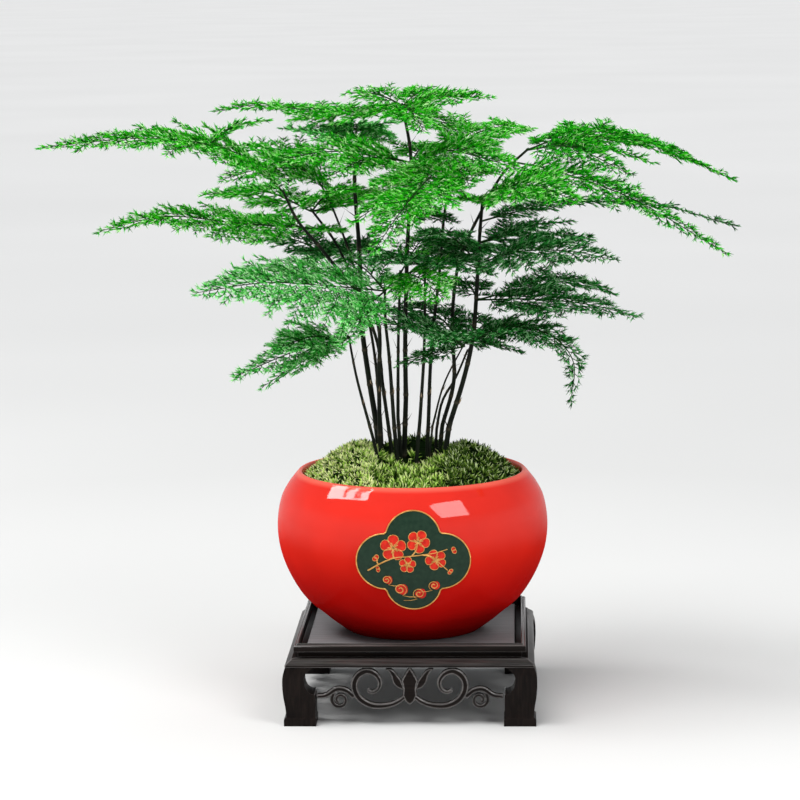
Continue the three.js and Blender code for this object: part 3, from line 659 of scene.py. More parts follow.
def make_fret():
    wave = [(-60.2, 19.1), (-54, 19.8), (-47, 23.9), (-41.5, 23.2), (-35.5, 18.6)]
    scroll = [(-1, 20.5), (-9, 14.9), (-17, 12.9), (-25, 13.4), (-31.8, 17.2), (-35.3, 23),
              (-35.6, 28.4), (-32.8, 33.4), (-27.4, 35.9), (-21.6, 33.4), (-19, 28.2),
              (-20.6, 23.6), (-24.6, 21.9), (-27.4, 23.6)]
    hook = [(-3, 23), (-8, 25), (-10.2, 27.2), (-11.2, 29.6), (-11.9, 32.6), (-13.3, 35.2), (-15.7, 37.2),
            (-12.6, 37.6), (-10.2, 36.2), (-8, 33.4), (-5.4, 29.8)]
    spade = [(0, 39), (-2, 36), (-4.2, 32), (-5.4, 29.5), (-4.6, 27), (-4.2, 24), (-4.6, 20), (-3, 16),
             (0, 13.6), (3, 16), (4.6, 20), (4.2, 24), (4.6, 27), (5.4, 29.5), (4.2, 32), (2, 36)]
    bands = [(band(wave, [2.9, 3.6, 3.4], 18), -79.2, 0.9),
             (band(spiral((-45, 17), 5.6, 1.7, 0.72 * math.pi, 1.35, 40), [2.6, 2.2, 2.0], 30), -79.0, 0.7),
             (band(scroll, [3, 3.4, 4, 4.4, 4.4, 3.2, 2.4], 44), -79.6, 1.0),
             (hook, -79.35, 0.8)]
    pieces = [upright(spade, -79.8, 1.0)]
    for outline, face, edge in bands:
        for hand in (1, -1):
            pieces.append(upright([(hand * x, z) for x, z in outline], face, edge))
    return pieces


def mitred_bar(name, section):
    """A moulding along the front side with its ends cut at 45 degrees."""
    bar = plate(name, [(-1, -out, z) for out, z in section], (2, 0, 0))
    for spot in bar.data.vertices:
        reach = -spot.co.y - MITRE_GAP * MM
        spot.co.x = reach if spot.co.x > 0 else -reach
    return bar


def make_rail():
    rail = mitred_bar("rail", [(62, 43.9), (72.3, 43.9), (72.3, 47.6), (75, 47.6), (75, 51),
                               (74.5, 51.7), (73.9, 51.8), (73.5, 51.5), (73.1, 51.9), (72.5, 52.9),
                               (71.8, 52.6), (71.8, 45.6), (62, 45.6)])
    soften(rail, 0.2, 2)
    finish_mesh(rail)
    paint_edge_highlights(rail, 0.28)
    return rail


def make_apron():
    """The shoulder moulding and the scroll frets below it."""
    slope = [(80.4, 39.75), (79.9, 40.5), (78.6, 41.6), (77.2, 42.5), (76.2, 43.6)]
    bar = mitred_bar("bar", [(66, 38.4), (80.4, 38.4), *slope, (66, 43.6)])
    soften(bar, 0.5, angle=50)
    apron = join("apron", [bar, *make_fret()])
    finish_mesh(apron, 40)
    paint_edge_highlights(apron, 0.3)
    return apron


def leg_outline():
    outer = [(-80.4, 38.1), (-81.7, 33), (-82, 27), (-81.4, 19), (-80.3, 12), (-79.8, 6.2)]
    inner = [(-61, 20.8), (-63.4, 21.4), (-66.5, 24.4), (-68, 31), (-66.6, 35), (-62.6, 38.1)]
    foot = [(-79.9, 5.6), (-81, 4.7), (-81.3, 4.1), (-81.3, 0), (-60.5, 0), (-60.5, 4.2), (-61, 5.6),
            (-61, 10)]
    return [*smooth_line(outer, 4), *foot, *smooth_line(inner, 4)]


def make_leg():
    """A bracket leg: the same outline cut through from the front and from the side."""
    outline = leg_outline()
    leg = plate("leg", [(x, -50, z) for x, z in outline], (0, -34, 0))
    side = plate("side", [(-50, x, z) for x, z in outline], (-34, 0, 0))
    reshape(leg, "BOOLEAN", operation="INTERSECT", solver="EXACT", object=side)
    bpy.data.objects.remove(side)
    soften(leg, 0.8, angle=50)
    finish_mesh(leg, 40)
    paint_edge_highlights(leg, 0.0)
    return leg


def make_stand():
    rail, apron, leg = make_rail(), make_apron(), make_leg()
    for k in range(4):
        grain = "wood_y" if k % 2 else "wood_x"
        turn = Matrix.Rotation(k * TURN / 4, 4, "Z")
        for pattern, finish, name in ((rail, grain, f"rail_{SIDES[k]}"), (apron, grain, f"apron_{SIDES[k]}"),
                                      (leg, "wood_z", f"leg_{CORNERS[k]}")):
            settle(moved_copy(pattern, name, turn), finish, "stand_wood", f"stand_{name}")
    for pattern in (rail, apron, leg):
        bpy.data.objects.remove(pattern)
    half, low, high = BOARD
    board = plate("board", [(-half, -half, low), (half, -half, low), (half, half, low), (-half, half, low)],
                  (0, 0, high - low))
    soften(board, 0.5)
    finish_mesh(board)
    settle(board, "board", "stand_panel", "stand_panel")


make_stand()


# Pot

POT_SIDES = 112
OUTSIDE = smooth_line([(44.9, 48.5), (49.4, 51.6), (55.2, 56), (61.5, 61.4), (68.3, 67), (74.1, 73.3),
                       (82.8, 88.2), (88.2, 104), (89.6, 120), (86.9, 136.5), (82.2, 145.6), (79.2, 149.6),
                       (76.4, 153), (74.6, 154.6), (73.2, 154.2), (72.6, 152.8), (72.8, 150.6),
                       (75.6, 146)], 7)
BOWL = OUTSIDE[:7 * 12 + 1]


def make_pot():
    foot = [(0, 50.6), (33.6, 50.6), (34.6, 50.2), (35.8, 48.8), (36.6, 48.3), (43.9, 48.3)]
    inside = smooth_line([(75.6, 146), (81.6, 135), (84.4, 115), (78, 91), (63, 70.6), (40, 56.5)], 5)
    profile = [*foot, *OUTSIDE, *inside[1:], (0, 56.5)]
    trace([(r, 0, z) for r, z in profile])
    bpy.ops.mesh.select_all(action="SELECT")
    bpy.ops.mesh.spin(steps=POT_SIDES, angle=TURN, center=(0, 0, 0), axis=(0, 0, 1))
    weld(0.01)
    face_out()
    pot = start("bowl")
    finish_mesh(pot, 45)
    settle(pot, "glaze", "pot_glaze", "pot")


make_pot()


# Crest: a painted plaque with blossoms and clouds on the front of the bowl

CREST = np.array([3.2, 109.2])
# Each with its place from the middle of the plaque, its size, and its turn or its hand
BLOSSOMS = (((-12.5, 9.5), 8.4, 0.3), ((3.5, 13.5), 7.4, 1.1), ((14.5, 1.5), 6.8, 0.7),
            ((-3.5, -1.5), 5.4, 0.2))
BUDS = (((-22.5, 1.5), 3.4, 2.4), ((-21, -4.5), 2.8, 3.3), ((24.5, 6.5), 3.2, 0.4), ((22.5, -6), 2.8, -0.7))
CLOUDS = (((-17, -12), 5.4, 1), ((-8.5, -18.5), 7.2, 1), ((3.5, -21.5), 6.6, -1), ((13, -16), 5.6, -1))
BRANCHES = (((-29, -6), (-21, -1), (-12, 3), (-3, 4), (6, 5), (14, 6), (22, 8)),
            ((-12, 3), (-13, 7), (-12.5, 9.5)), ((-1, 4), (2, 8), (3.5, 13.5)),
            ((6, 5), (11, 4), (14.5, 1.5), (19, -3), (22, -6)), ((-22, -1.6), (-23, 0), (-22.5, 1.5)))


def on_bowl(points, lift):
    """Points given across and up on the front of the bowl, this far out of its glaze."""
    points = np.asarray(points, float)
    radius = np.interp(points[..., 1], BOWL[:, 1], BOWL[:, 0]) + lift
    return np.stack([points[..., 0], -np.sqrt(radius**2 - points[..., 0] ** 2), points[..., 1]], -1)


def plaque_outline():
    """Four overlapping circles."""
    turn = np.linspace(0, TURN, 96, endpoint=False)
    ray = np.stack([np.cos(turn), np.sin(turn)], 1)
    reach = np.zeros(len(turn))
    for circle, radius in (((18, 0), 18.4), ((-18, 0), 18.4), ((0, 15.2), 17.6), ((0, -15.2), 17.6)):
        near = ray @ np.array(circle, float)
        reach = np.maximum(reach, near + np.sqrt(radius**2 - np.dot(circle, circle) + near**2))
    return CREST + ray * reach[:, None]


def petal_outline():
    """A round petal one millimetre long that starts near the middle of its flower."""
    turn = np.linspace(0, TURN, 14, endpoint=False)
    return np.stack([0.56 + 0.44 * np.cos(turn), 0.40 * np.sin(turn) * (1 + 0.25 * np.cos(turn))], 1)


def flat_sheet(name, outline, rings):
    """A flat skin over an outline, drawn in rings that shrink to its middle."""
    middle = outline.mean(0)
    trace([(x, 0, z) for x, z in [*outline, outline[0]]])
    weld(0.002)
    centre = Vector((middle[0], 0, middle[1])) * MM
    for k in range(rings, 1, -1):
        share = (k - 1) / k
        bpy.ops.mesh.extrude_edges_move(TRANSFORM_OT_translate={"value": (0, 0, 0)})
        bpy.ops.transform.resize(value=(share, 1, share), center_override=centre)
    bpy.ops.mesh.extrude_edges_move(TRANSFORM_OT_translate={"value": (0, 0, 0)})
    bpy.ops.mesh.merge(type="CENTER")
    return start(name)


def press(sheet, lift, thick):
    """Lays a flat sheet on the bowl and gives it a thickness."""
    for spot in sheet.data.vertices:
        spot.co = Vector(on_bowl(np.array([spot.co.x, spot.co.z]) / MM, lift)) * MM
    reshape(sheet, "SOLIDIFY", thickness=thick * MM, offset=0)
    bpy.ops.object.mode_set(mode="EDIT")
    face_out()
    bpy.ops.object.mode_set(mode="OBJECT")
    finish_mesh(sheet, 40)


def scattered(pattern, places):
    """Copies of a flat sheet at a scale, a turn and a spot each, joined in one."""
    pieces = []
    for spot, size, turn in places:
        shift = Matrix.Translation(Vector((spot[0], 0, spot[1])) * MM)
        motion = shift @ Matrix.Rotation(-turn, 4, "Y") @ Matrix.Scale(size, 4)
        pieces.append(moved_copy(pattern, "scattered", motion))
    return join("scattered", pieces)


def turned_line(line, spot, size, turn):
    ahead = np.array([math.cos(turn), math.sin(turn)])
    across = np.array([-ahead[1], ahead[0]])
    return np.asarray(spot) + size * (line[:, :1] * ahead + line[:, 1:] * across)


def gild(bundle, line, thick, lift=0.75):
    """A raised gilt line on the plaque."""
    spots = on_bowl(line, lift)
    bundle.tubes(spots[None], np.linspace(*thick, len(spots))[None], 6, 0.5, (0, 1, 0))


def make_crest():
    plaque = plaque_outline()
    field = flat_sheet("crest_field", plaque, 9)
    press(field, 0.15, 0.6)
    settle(field, "field", "pot_glaze")

    petals = [(CREST + spot, size, begin + k * TURN / 5) for spot, size, begin in BLOSSOMS for k in range(5)]
    petals += [(CREST + spot, size, turn + lean) for spot, size, turn in BUDS for lean in (-0.5, 0.5)]
    pattern = flat_sheet("petal", petal_outline(), 3)
    blooms = scattered(pattern, petals)
    puffs = [(CREST + spot - np.array([0.56 * size, 0]), size * 1.25, 0) for spot, size, _ in CLOUDS]
    clouds = scattered(pattern, puffs)
    bpy.data.objects.remove(pattern)
    press(blooms, 0.55, 0.4)
    press(clouds, 0.5, 0.4)
    painted = join("crest_blossoms", [blooms, clouds])
    settle(painted, "petal", "pot_glaze")

    bundle = Bundle()
    gild(bundle, np.vstack([plaque, plaque[:2]]), (0.45, 0.45), 0.5)
    edge = np.vstack([petal_outline(), petal_outline()[:2]])
    for spot, size, turn in petals:
        gild(bundle, turned_line(edge, spot, size, turn), (0.2, 0.2))
    for spot, size, begin in BLOSSOMS:
        for k in range(10):
            stamen = np.array([[0.05, 0], [(0.42, 0.3)[k % 2], 0]])
            line = turned_line(stamen, CREST + spot, size, begin + 0.3 + k * math.pi / 5)
            gild(bundle, line, (0.16, 0.3), 0.8)
    for branch in BRANCHES:
        gild(bundle, CREST + smooth_line(branch, 8), (0.55, 0.3), 0.6)
    for spot, size, hand in CLOUDS:
        curl = spiral((0, 0), size * 0.62, size * 0.12, -0.4 * math.pi, 1.6, 36)
        tail = np.array([[size * 1.5, -size * 0.75], [size * 0.8, -size * 0.74]])
        gild(bundle, CREST + spot + np.vstack([tail, curl]) * [hand, 1], (0.2, 0.42))
    settle(bundle.build("crest_gilding", smooth=True), "gold", "pot_glaze")


make_crest()


# Soil: the solid keeps its shape and gets a finish

dress(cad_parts["soil"], "soil")


# Canes

CANES = (
    (1.3, [(-14, -11, 126), (-25, -13, 177), (-35, -14, 216), (-38, -15, 232), (-40, -16, 245)]),
    (2.1, [(-18, 5, 126), (-24, 9, 185), (-29, 11, 217), (-33, 13, 250), (-34, 16, 296), (-37, 20, 343),
           (-36, 22, 364)]),
    (1.2, [(-19, 15, 126), (-21, 17, 180), (-25, 20, 228), (-30, 22, 256), (-42, 26, 298), (-56, 30, 335)]),
    (1.6, [(-20, -4, 126), (-21, -6, 188), (-21, -9, 216), (-22, -13, 257), (-44, -18, 286),
           (-57, -20, 303), (-72, -24, 322), (-81, -28, 342)]),
    (1.4, [(-9, 3, 126), (-15, 2, 179), (-19, 1, 211), (-22, 1, 238), (-34, 3, 270), (-49, 6, 304),
           (-65, 8, 326)]),
    (1.6, [(-6, -9, 126), (-11, -11, 183), (-14, -12, 232), (-16, -15, 255), (-16, -18, 275)]),
    (1.4, [(-5, 1, 126), (-9, 0, 189), (-8, -6, 242), (-6, -14, 288)]),
    (1.8, [(-7, 12, 126), (-4, 10, 200), (-4, 8, 240), (-2, 5, 300), (1, 4, 360), (-4, 0, 394)]),
    (1.4, [(0, -9, 126), (6, -11, 190), (9, -12, 234), (10, -14, 276), (10, -16, 291)]),
    (1.4, [(8, 5, 126), (11, 6, 186), (13, 8, 229), (20, 2, 293), (23, -6, 325), (30, -12, 359)]),
    (0.9, [(8, -5, 126), (14, -9, 184), (22, -12, 213), (35, -16, 239)]),
    (1.2, [(14, 12, 126), (16, 15, 178), (20, 18, 197), (29, 24, 212), (37, 30, 230)]),
    (1.9, [(16, -1, 126), (25, -3, 184), (35, -6, 216), (41, -8, 243), (44, -12, 279), (46, -16, 312),
           (48, -18, 334)]),
    (1.5, [(15, 4, 126), (20, 5, 182), (28, 7, 212), (27, 12, 250), (32, 20, 291), (45, 24, 320),
           (62, 28, 349), (77, 30, 363)]),
)
CANE_TAPER = 0.45
JOINT_STEP = 23
# Lean and length of the two husks at a joint
HUSKS = ((0.25, 4.4), (0.6, 2.6))


def make_cane(name, radius, route, draw):
    """A wiry stem with slight joints, a few dry husks and thin side twigs."""
    upper = smooth_line(route[1:], 14)
    line = np.vstack([np.asarray(route[:1], float), upper])
    length = line_length(line)
    rings = np.arange(28 + draw.uniform(0, 8), length - 6, JOINT_STEP)
    rings = rings + draw.uniform(-4, 4, len(rings))
    near = np.concatenate([rings - 1.4, rings, rings + 1.0])
    share = np.sort(np.concatenate([np.linspace(0, 1, int(length / 5)), near / length]))
    spots = at_share(line, share)
    swell = sum(np.exp(-((share * length - ring) / 0.9) ** 2) for ring in rings)
    radii = radius * (1.06 - (CANE_TAPER + 0.06) * share) * (1 + 0.18 * swell)
    bundle = Bundle()
    bundle.tubes(spots[None], radii[None], 9, np.repeat(0.12 * np.clip(swell, 0, 1), 9)[None], (0, 1, 0))

    base = at_share(line, rings / length)
    way = way_at(line, rings / length)
    turn = draw.uniform(0, TURN, len(rings))
    across = unit(np.cross(way, [[0, 1.0, 0]]))
    out = across * np.cos(turn)[:, None] + np.cross(way, across) * np.sin(turn)[:, None]
    girth = radius * (1 - CANE_TAPER * rings / length)
    husk = np.arange(len(rings)) % 2 == 0
    pale = np.where(rings < 100, 1.0, 0.4)[husk]
    for lean, reach in HUSKS:
        aim = unit(way + lean * out)
        bundle.spikes((base + out * (girth * 0.7)[:, None])[husk], aim[husk],
                      reach * draw.uniform(0.7, 1.2, husk.sum()), girth[husk] * (0.8 + 0.6 * pale),
                      pale * draw.uniform(0.6, 1.0, husk.sum()))
    spur = ~husk
    aim = unit(way + draw.uniform(0.6, 1.3, len(rings))[:, None] * out)
    bundle.spikes(base[spur], aim[spur], draw.uniform(6, 13, spur.sum()), girth[spur] * 0.7, 0.05)
    return bundle.build(name, smooth=True)


for k, cane in enumerate(CANES):
    stem = make_cane(f"stem_{k + 1}", *cane, np.random.default_rng(40 + k))
    settle(stem, "cane", "cane", f"cane_{k + 1}")


# Moss

MOSS_FOOT = 147.3
MOSS_RISE = 20
MOSS_RADIUS = 71.8
MOUND_RINGS = 14
# Two rings of leaves, each with its count, its tilts in degrees and its share of the length
ROSETTE = ((5, (44, 72), 1.0), (3, (12, 36), 1.05))
LEAF_LIGHT = (0.12, 0.6, 1.2, 1.7)


def moss_edge(begin, end, radius):
    angle = np.radians(np.linspace(begin, end, 22))
    return radius * np.stack([np.cos(angle), np.sin(angle)], 1)


def ragged(x, first, last):
    """A wavy side of a cushion that runs from front to back."""
    y = np.linspace(first, last, 16)
    return np.stack([x + 2.4 * np.sin(0.17 * y + x) + 1.1 * np.sin(0.41 * y), y], 1)


def make_moss(name, outline, middle, height, edge, leaf, broad, tuft_tone, count, draw):
    """A cushion of moss: a dark lumpy mound under hundreds of small leaf rosettes."""
    sink = 0.75 * leaf
    height = height - sink
    middle = np.asarray(middle, float)
    corners = len(outline)
    seed = draw.uniform(0, 6, 4)
    brim = edge - sink + MOSS_RISE * (1 - np.sum(outline**2, 1) / MOSS_RADIUS**2)

    def lumps(spot):
        return (1.2 * np.sin(spot[..., 0] * 0.42 + seed[0]) * np.sin(spot[..., 1] * 0.47 + seed[1])
                + 0.7 * np.sin(spot[..., 0] * 0.95 + seed[2]) * np.sin(spot[..., 1] * 0.88 + seed[3]))

    def surface(share, spot, brim):
        rise = MOSS_FOOT + brim + (height - brim) * (1 - share**1.6) + (lumps(spot) - 1.2) * (1 - share**6)
        return np.concatenate([spot, rise[..., None]], -1)

    bundle = Bundle()
    share = 1 - np.arange(MOUND_RINGS) / MOUND_RINGS
    flat = middle + (outline[None] - middle) * share[:, None, None]
    mound = surface(np.broadcast_to(share[:, None], (MOUND_RINGS, corners)), flat, brim)
    foot = np.concatenate([outline, np.full((corners, 1), MOSS_FOOT)], 1)
    peak = surface(np.zeros(1), middle[None], brim[:1])
    under = np.array([[*middle, MOSS_FOOT]])
    points = np.vstack([foot, mound.reshape(-1, 3), peak, under])
    faces = walls(MOUND_RINGS + 1, corners)
    last = MOUND_RINGS * corners
    top = last + corners
    for j in range(corners):
        follow = (j + 1) % corners
        faces += [(last + j, last + follow, top), (follow, j, top + 1)]
    # The mound takes the darkest tone, its own colour and painted shade in the gaps between rosettes.
    bundle.add(points[None], faces, 0.0)

    away = np.sqrt(draw.uniform(0, 1, count))
    along = draw.uniform(0, corners, count)
    first = along.astype(int)
    part = along - first
    follow = (first + 1) % corners
    rim = outline[first] * (1 - part[:, None]) + outline[follow] * part[:, None]
    brim = brim[first] * (1 - part) + brim[follow] * part
    spot = middle + (rim - middle) * (away * 0.96)[:, None]
    root = surface(away, spot, brim)
    slope = [surface(away, spot + step, brim)[:, 2] - root[:, 2] for step in ((0.5, 0), (0, 0.5))]
    outward = unit(rim - middle)
    fall = 1.6 * (height - brim) * away**0.6 / np.maximum(np.linalg.norm(rim - middle, axis=1), 1)
    lean = outward * fall[:, None] - 1.2 * np.stack(slope, 1)
    normal = unit(np.concatenate([lean, np.ones((count, 1))], 1))
    side = unit(np.cross(normal, [[0.3, 1.0, 0.1]]))
    other = np.cross(normal, side)
    tone = np.clip(draw.normal(tuft_tone, 0.1, count), 0.08, 0.75)
    size = draw.uniform(0.75, 1.2, count)
    begin = draw.uniform(0, TURN, count)
    for leaves, tilts, reach in ROSETTE:
        for k in range(leaves):
            turn = (begin + reach * 5 + k * TURN / leaves + draw.normal(0, 0.25, count))[:, None]
            tilt = np.radians(draw.uniform(*tilts, count))[:, None]
            aim = normal * np.cos(tilt) + (side * np.cos(turn) + other * np.sin(turn)) * np.sin(tilt)
            light = draw.choice(LEAF_LIGHT, count)
            bundle.leaves(root - normal * 0.4, aim, unit(np.cross(aim, normal)), leaf * reach * size,
                          broad * size, tone * light, draw.uniform(0.15, 0.6, count) * light)
    return bundle.build(name)


LEFT_EDGE = np.vstack([moss_edge(112, 248, 71.3), ragged(-24, -62, 62)])
RIGHT_EDGE = np.vstack([moss_edge(-68, 68, 71), ragged(24, 60, -60)])
CENTRE_EDGE = np.vstack([moss_edge(-111.5, -68.5, 70), ragged(28, -60, 20), ragged(-28, 20, -60)])
REAR_EDGE = np.vstack([moss_edge(68.5, 111.5, 70), ragged(-28, 60, 20), ragged(28, 20, 60)])
# Name, outline, middle, height, brim, leaf length and width, tone, number of rosettes, finish
MOSS = (
    ("left", LEFT_EDGE, (-35, -1), 27, 4.6, 4.2, 1.1, 0.74, 760, "moss_bright"),
    ("centre", CENTRE_EDGE, (2, -16), 15, 5, 6.2, 1.4, 0.37, 300, "moss_bright"),
    ("right", RIGHT_EDGE, (37, 5), 26, 4, 5.6, 1.3, 0.3, 400, "moss_dark"),
    ("rear", REAR_EDGE, (3, 40), 25, 4, 5.6, 1.3, 0.26, 220, "moss_dark"),
)
for k, (place, *shape, look) in enumerate(MOSS):
    cushion = make_moss(f"cushion_{place}", *shape, np.random.default_rng(70 + k))
    settle(cushion, look, look, f"moss_{place}")


# Fronds: look, hub behind the foot, foot, then for each spray its longest side branch, its lean
# about the rib in degrees, its bare share, its sag and the points of its rib after the foot

FRONDS = {
    "crown": ("bright", (-5, 0, 399), (-4, 0, 394), [
        (32, 16, 0.1, 1, (14, -14, 399), (34, -28, 401), (53, -40, 401)),
        (26, -16, 0.2, 1, (-14, 7, 399), (-26, 14, 402), (-42, 20, 402)),
        (36, -14, 0.12, 1, (-32, 26, 389), (-75, 55, 390), (-108, 68, 392), (-133, 80, 388)),
        (42, 4, 0.16, 1, (-2, -26, 395), (6, -54, 390), (12, -78, 382)),
        (34, 4, 0.16, 1, (4, 14, 401), (13, 34, 404)),
        (26, 20, 0.2, 1, (10, -8, 388), (34, -14, 380))]),
    "dome": ("deep", (-36, 22, 369), (-36, 22, 363), [
        (52, 0, 0.1, 4, (-37, 45, 376), (-38, 80, 378), (-41, 118, 366)),
        (25, -14, 0.2, 1, (-50, 28, 374), (-84, 34, 378))]),
    "left_long": ("bright", None, (-81, -28, 341), [
        (48, -22, 0.1, 1, (-99, -46, 362), (-124, -70, 374), (-164, -98, 380), (-222, -120, 376))]),
    "left_upper": ("bright", (-57, 31, 340), (-56, 30, 334), [
        (42, -24, 0.16, 1, (-66, 16, 350), (-94, 0, 354), (-122, -16, 348)),
        (36, -18, 0.24, 1, (-70, 44, 353), (-92, 60, 363), (-120, 72, 365))]),
    "centre_left": ("bright", (0, -3, 359), (1, 4, 357), [
        (34, -24, 0.2, 1, (-24, -24, 362), (-50, -52, 352)),
        (44, 22, 0.14, 1, (24, -18, 366), (50, -40, 362), (76, -56, 355)),
        (42, -22, 0.12, 1, (-28, -2, 364), (-64, -6, 364), (-98, -8, 354)),
        (36, 0, 0.2, 2, (6, 28, 364), (14, 58, 366))]),
    "left_mid": ("bright", None, (-68, -23, 317), [
        (42, -22, 0.08, 1, (-110, -42, 322), (-154, -60, 328), (-194, -72, 320)),
        (30, -14, 0.16, 1, (-92, -10, 322), (-120, 4, 318)),
        (28, -4, 0.16, 1, (-58, -2, 314), (-46, 22, 312))]),
    "left_back": ("bright", (-66, 9, 331), (-65, 8, 325), [
        (36, -14, 0.18, 1, (-97, 36, 336), (-142, 66, 332)),
        (40, -6, 0.2, 3, (-47, 30, 328), (-38, 60, 334), (-34, 90, 330)),
        (34, 6, 0.16, 1, (-52, -12, 339), (-34, -38, 343))]),
    "left_small": ("deep", None, (-45, -18, 288), [
        (28, -16, 0.3, 1, (-61, 2, 300), (-84, 26, 306), (-109, 48, 301))]),
    "left_low": ("bright", (-17, -20, 280), (-16, -18, 275), [
        (62, -32, 0.1, 2, (-47, -44, 281), (-89, -76, 287), (-131, -106, 284)),
        (34, -6, 0.2, 1, (-28, -46, 266), (-42, -76, 246)),
        (38, -20, 0.2, 1, (-30, -2, 288), (-48, 14, 296)),
        (24, 0, 0.2, 1, (-11, 2, 279), (-7, 28, 280))]),
    "front_small": ("bright", None, (-6, -14, 286), [
        (42, 20, 0.12, 1, (8, -46, 286), (24, -78, 276)),
        (28, 4, 0.2, 1, (4, 2, 302), (12, 24, 310))]),
    "left_bottom": ("deep", (-42, -17, 248), (-40, -16, 244), [
        (32, -24, 0.15, 1, (-70, -42, 240), (-111, -72, 226)),
        (24, -20, 0.3, 1, (-69, -12, 229), (-98, -12, 211)),
        (34, -20, 0.2, 1, (-62, -40, 248), (-86, -74, 243))]),
    "centre_front": ("bright", (31, -13, 363), (30, -12, 359), [
        (54, -12, 0.12, 1, (15, -46, 351), (-2, -84, 333), (-18, -116, 311)),
        (44, 12, 0.16, 1, (39, 22, 372), (59, 56, 377), (81, 88, 374)),
        (44, -18, 0.16, 1, (10, -38, 350), (-12, -58, 338), (-34, -72, 324)),
        (34, 4, 0.16, 1, (36, -38, 354), (40, -66, 346))]),
    "centre_right": ("bright", None, (48, -18, 333), [
        (44, 26, 0.15, 1, (63, -42, 344), (85, -70, 346), (108, -96, 338)),
        (32, 14, 0.18, 1, (72, -10, 339), (102, 0, 338)),
        (28, -6, 0.16, 1, (44, -34, 336), (38, -56, 337))]),
    "right_upper": ("bright", (80, 31, 366), (77, 30, 363), [
        (46, 16, 0.12, 1, (103, 54, 370), (154, 92, 366), (220, 120, 336)),
        (32, 20, 0.2, 1, (104, 14, 366), (144, -10, 349))]),
    "right_long_front": ("bright", None, (69, 29, 355), [
        (30, 16, 0.18, 1, (92, 0, 352), (143, -38, 336), (202, -66, 303))]),
    "right_long_back": ("deep", None, (47, -17, 320), [
        (20, 10, 0.2, 1, (66, 20, 322), (98, 58, 326), (169, 98, 320), (221, 116, 304))]),
    "right_mid": ("deep", (46, -16, 297), (45, -13, 292), [
        (42, 24, 0.15, 1, (72, -36, 302), (104, -56, 304), (131, -74, 300)),
        (44, 2, 0.18, 3, (28, -40, 312), (10, -66, 318))]),
    "right_mid_back": ("deep", None, (46, -15, 306), [
        (36, 14, 0.2, 1, (79, 16, 309), (121, 42, 302)),
        (22, 12, 0.2, 1, (76, -14, 316), (106, -10, 319))]),
    "right_low": ("deep", (49, -10, 270), (44, -11, 268), [
        (40, 18, 0.15, 1, (82, -26, 270), (117, -42, 268), (146, -56, 262)),
        (34, 14, 0.3, 1, (84, 4, 276), (112, 28, 276), (136, 50, 264)),
        (28, 0, 0.2, 1, (40, 10, 274), (32, 36, 276))]),
    "right_drooping": ("deep", None, (41, -8, 241), [
        (28, 20, 0.2, 1, (62, -20, 251), (92, -40, 248), (106, -52, 232), (104, -60, 208))]),
    "right_bottom": ("deep", (31, 12, 237), (27, 11, 236), [
        (20, 16, 0.25, 1, (48, 24, 236), (73, 36, 227)),
        (30, 18, 0.2, 1, (52, 0, 245), (82, -14, 245), (108, -24, 236))]),
    "back_right": ("deep", (11, -18, 294), (10, -16, 290), [
        (42, 8, 0.35, 3, (16, 20, 294), (40, 76, 296), (84, 118, 285)),
        (36, 8, 0.2, 1, (31, -40, 296), (54, -64, 290)),
        (36, -8, 0.2, 1, (-4, -40, 299), (-22, -64, 298))]),
    "back_left": ("deep", None, (-34, 16, 292), [
        (44, -12, 0.16, 3, (-46, 50, 297), (-76, 100, 291))]),
    "back_centre": ("deep", None, (-1, 5, 322), [
        (42, 0, 0.2, 3, (-9, 60, 332), (-20, 120, 324)),
        (26, 8, 0.2, 1, (14, -14, 324), (30, -30, 321))]),
    "front_low": ("deep", (36, -18, 243), (35, -16, 238), [
        (30, 0, 0.12, 1, (26, -48, 250), (16, -80, 247)),
        (36, -20, 0.16, 1, (10, -30, 252), (-18, -40, 256)),
        (38, -10, 0.3, 3, (20, 10, 253), (0, 36, 258), (-22, 60, 252)),
        (26, -8, 0.2, 1, (14, -22, 234), (-8, -26, 228))]),
    "back_low": ("deep", None, (37, 30, 229), [
        (34, 8, 0.12, 1, (48, 62, 243), (74, 100, 238))]),
}
# Sprays that start out on another spray's rib
OFFSHOOTS = {
    "left_long": ((-124, -70, 374), [
        (16, -12, 0.1, 1, (-110, -50, 384), (-90, -30, 387))]),
    "right_upper": ((104, 14, 366), [
        (16, 14, 0.1, 1, (130, 22, 364), (160, 26, 354))]),
}
# How light the needles of each frond are, where it isn't 0.5: painted light and shade for fronds in light or
# in shade
FROND_PAINTED_LIGHT = {"dome": 0.45, "left_low": 0.6, "left_bottom": 0.58, "right_upper": 0.36, "right_long_front": 0.36}
SOFT = ("dome", "left_low", "left_bottom")
DOWN = np.array([0, 0, -1.0])
# How much of a bare share in the table stays without branches
BARE = 0.45
RIB_STATIONS = 28
RIB_RADIUS = 0.66
RIB_TAPER = 0.44
BRANCH_STEP = 5.2
BRANCH_ANGLE = 52
BRANCH_STATIONS = 5
BRANCH_RADII = (0.34, 0.16)
SHORT_BRANCH = (4, 8)
SAG = 0.0016
TWIG_STEP = 2.0
TWIG_ANGLE = 38
TWIG_LENGTH = (2.0, 9.5)
TWIG_WIDTH = 0.4
NEEDLE_STEP = 0.82
NEEDLE_LENGTH = (2.5, 4.1)
NEEDLE_WIDTH = 0.9
NEEDLE_SPREAD = (16, 42)


def blade_share(step):
    """How long the side branches are along a blade, as a share of the longest."""
    return np.minimum(1, 0.5 + 2.6 * step) * (1 - step) ** 0.84


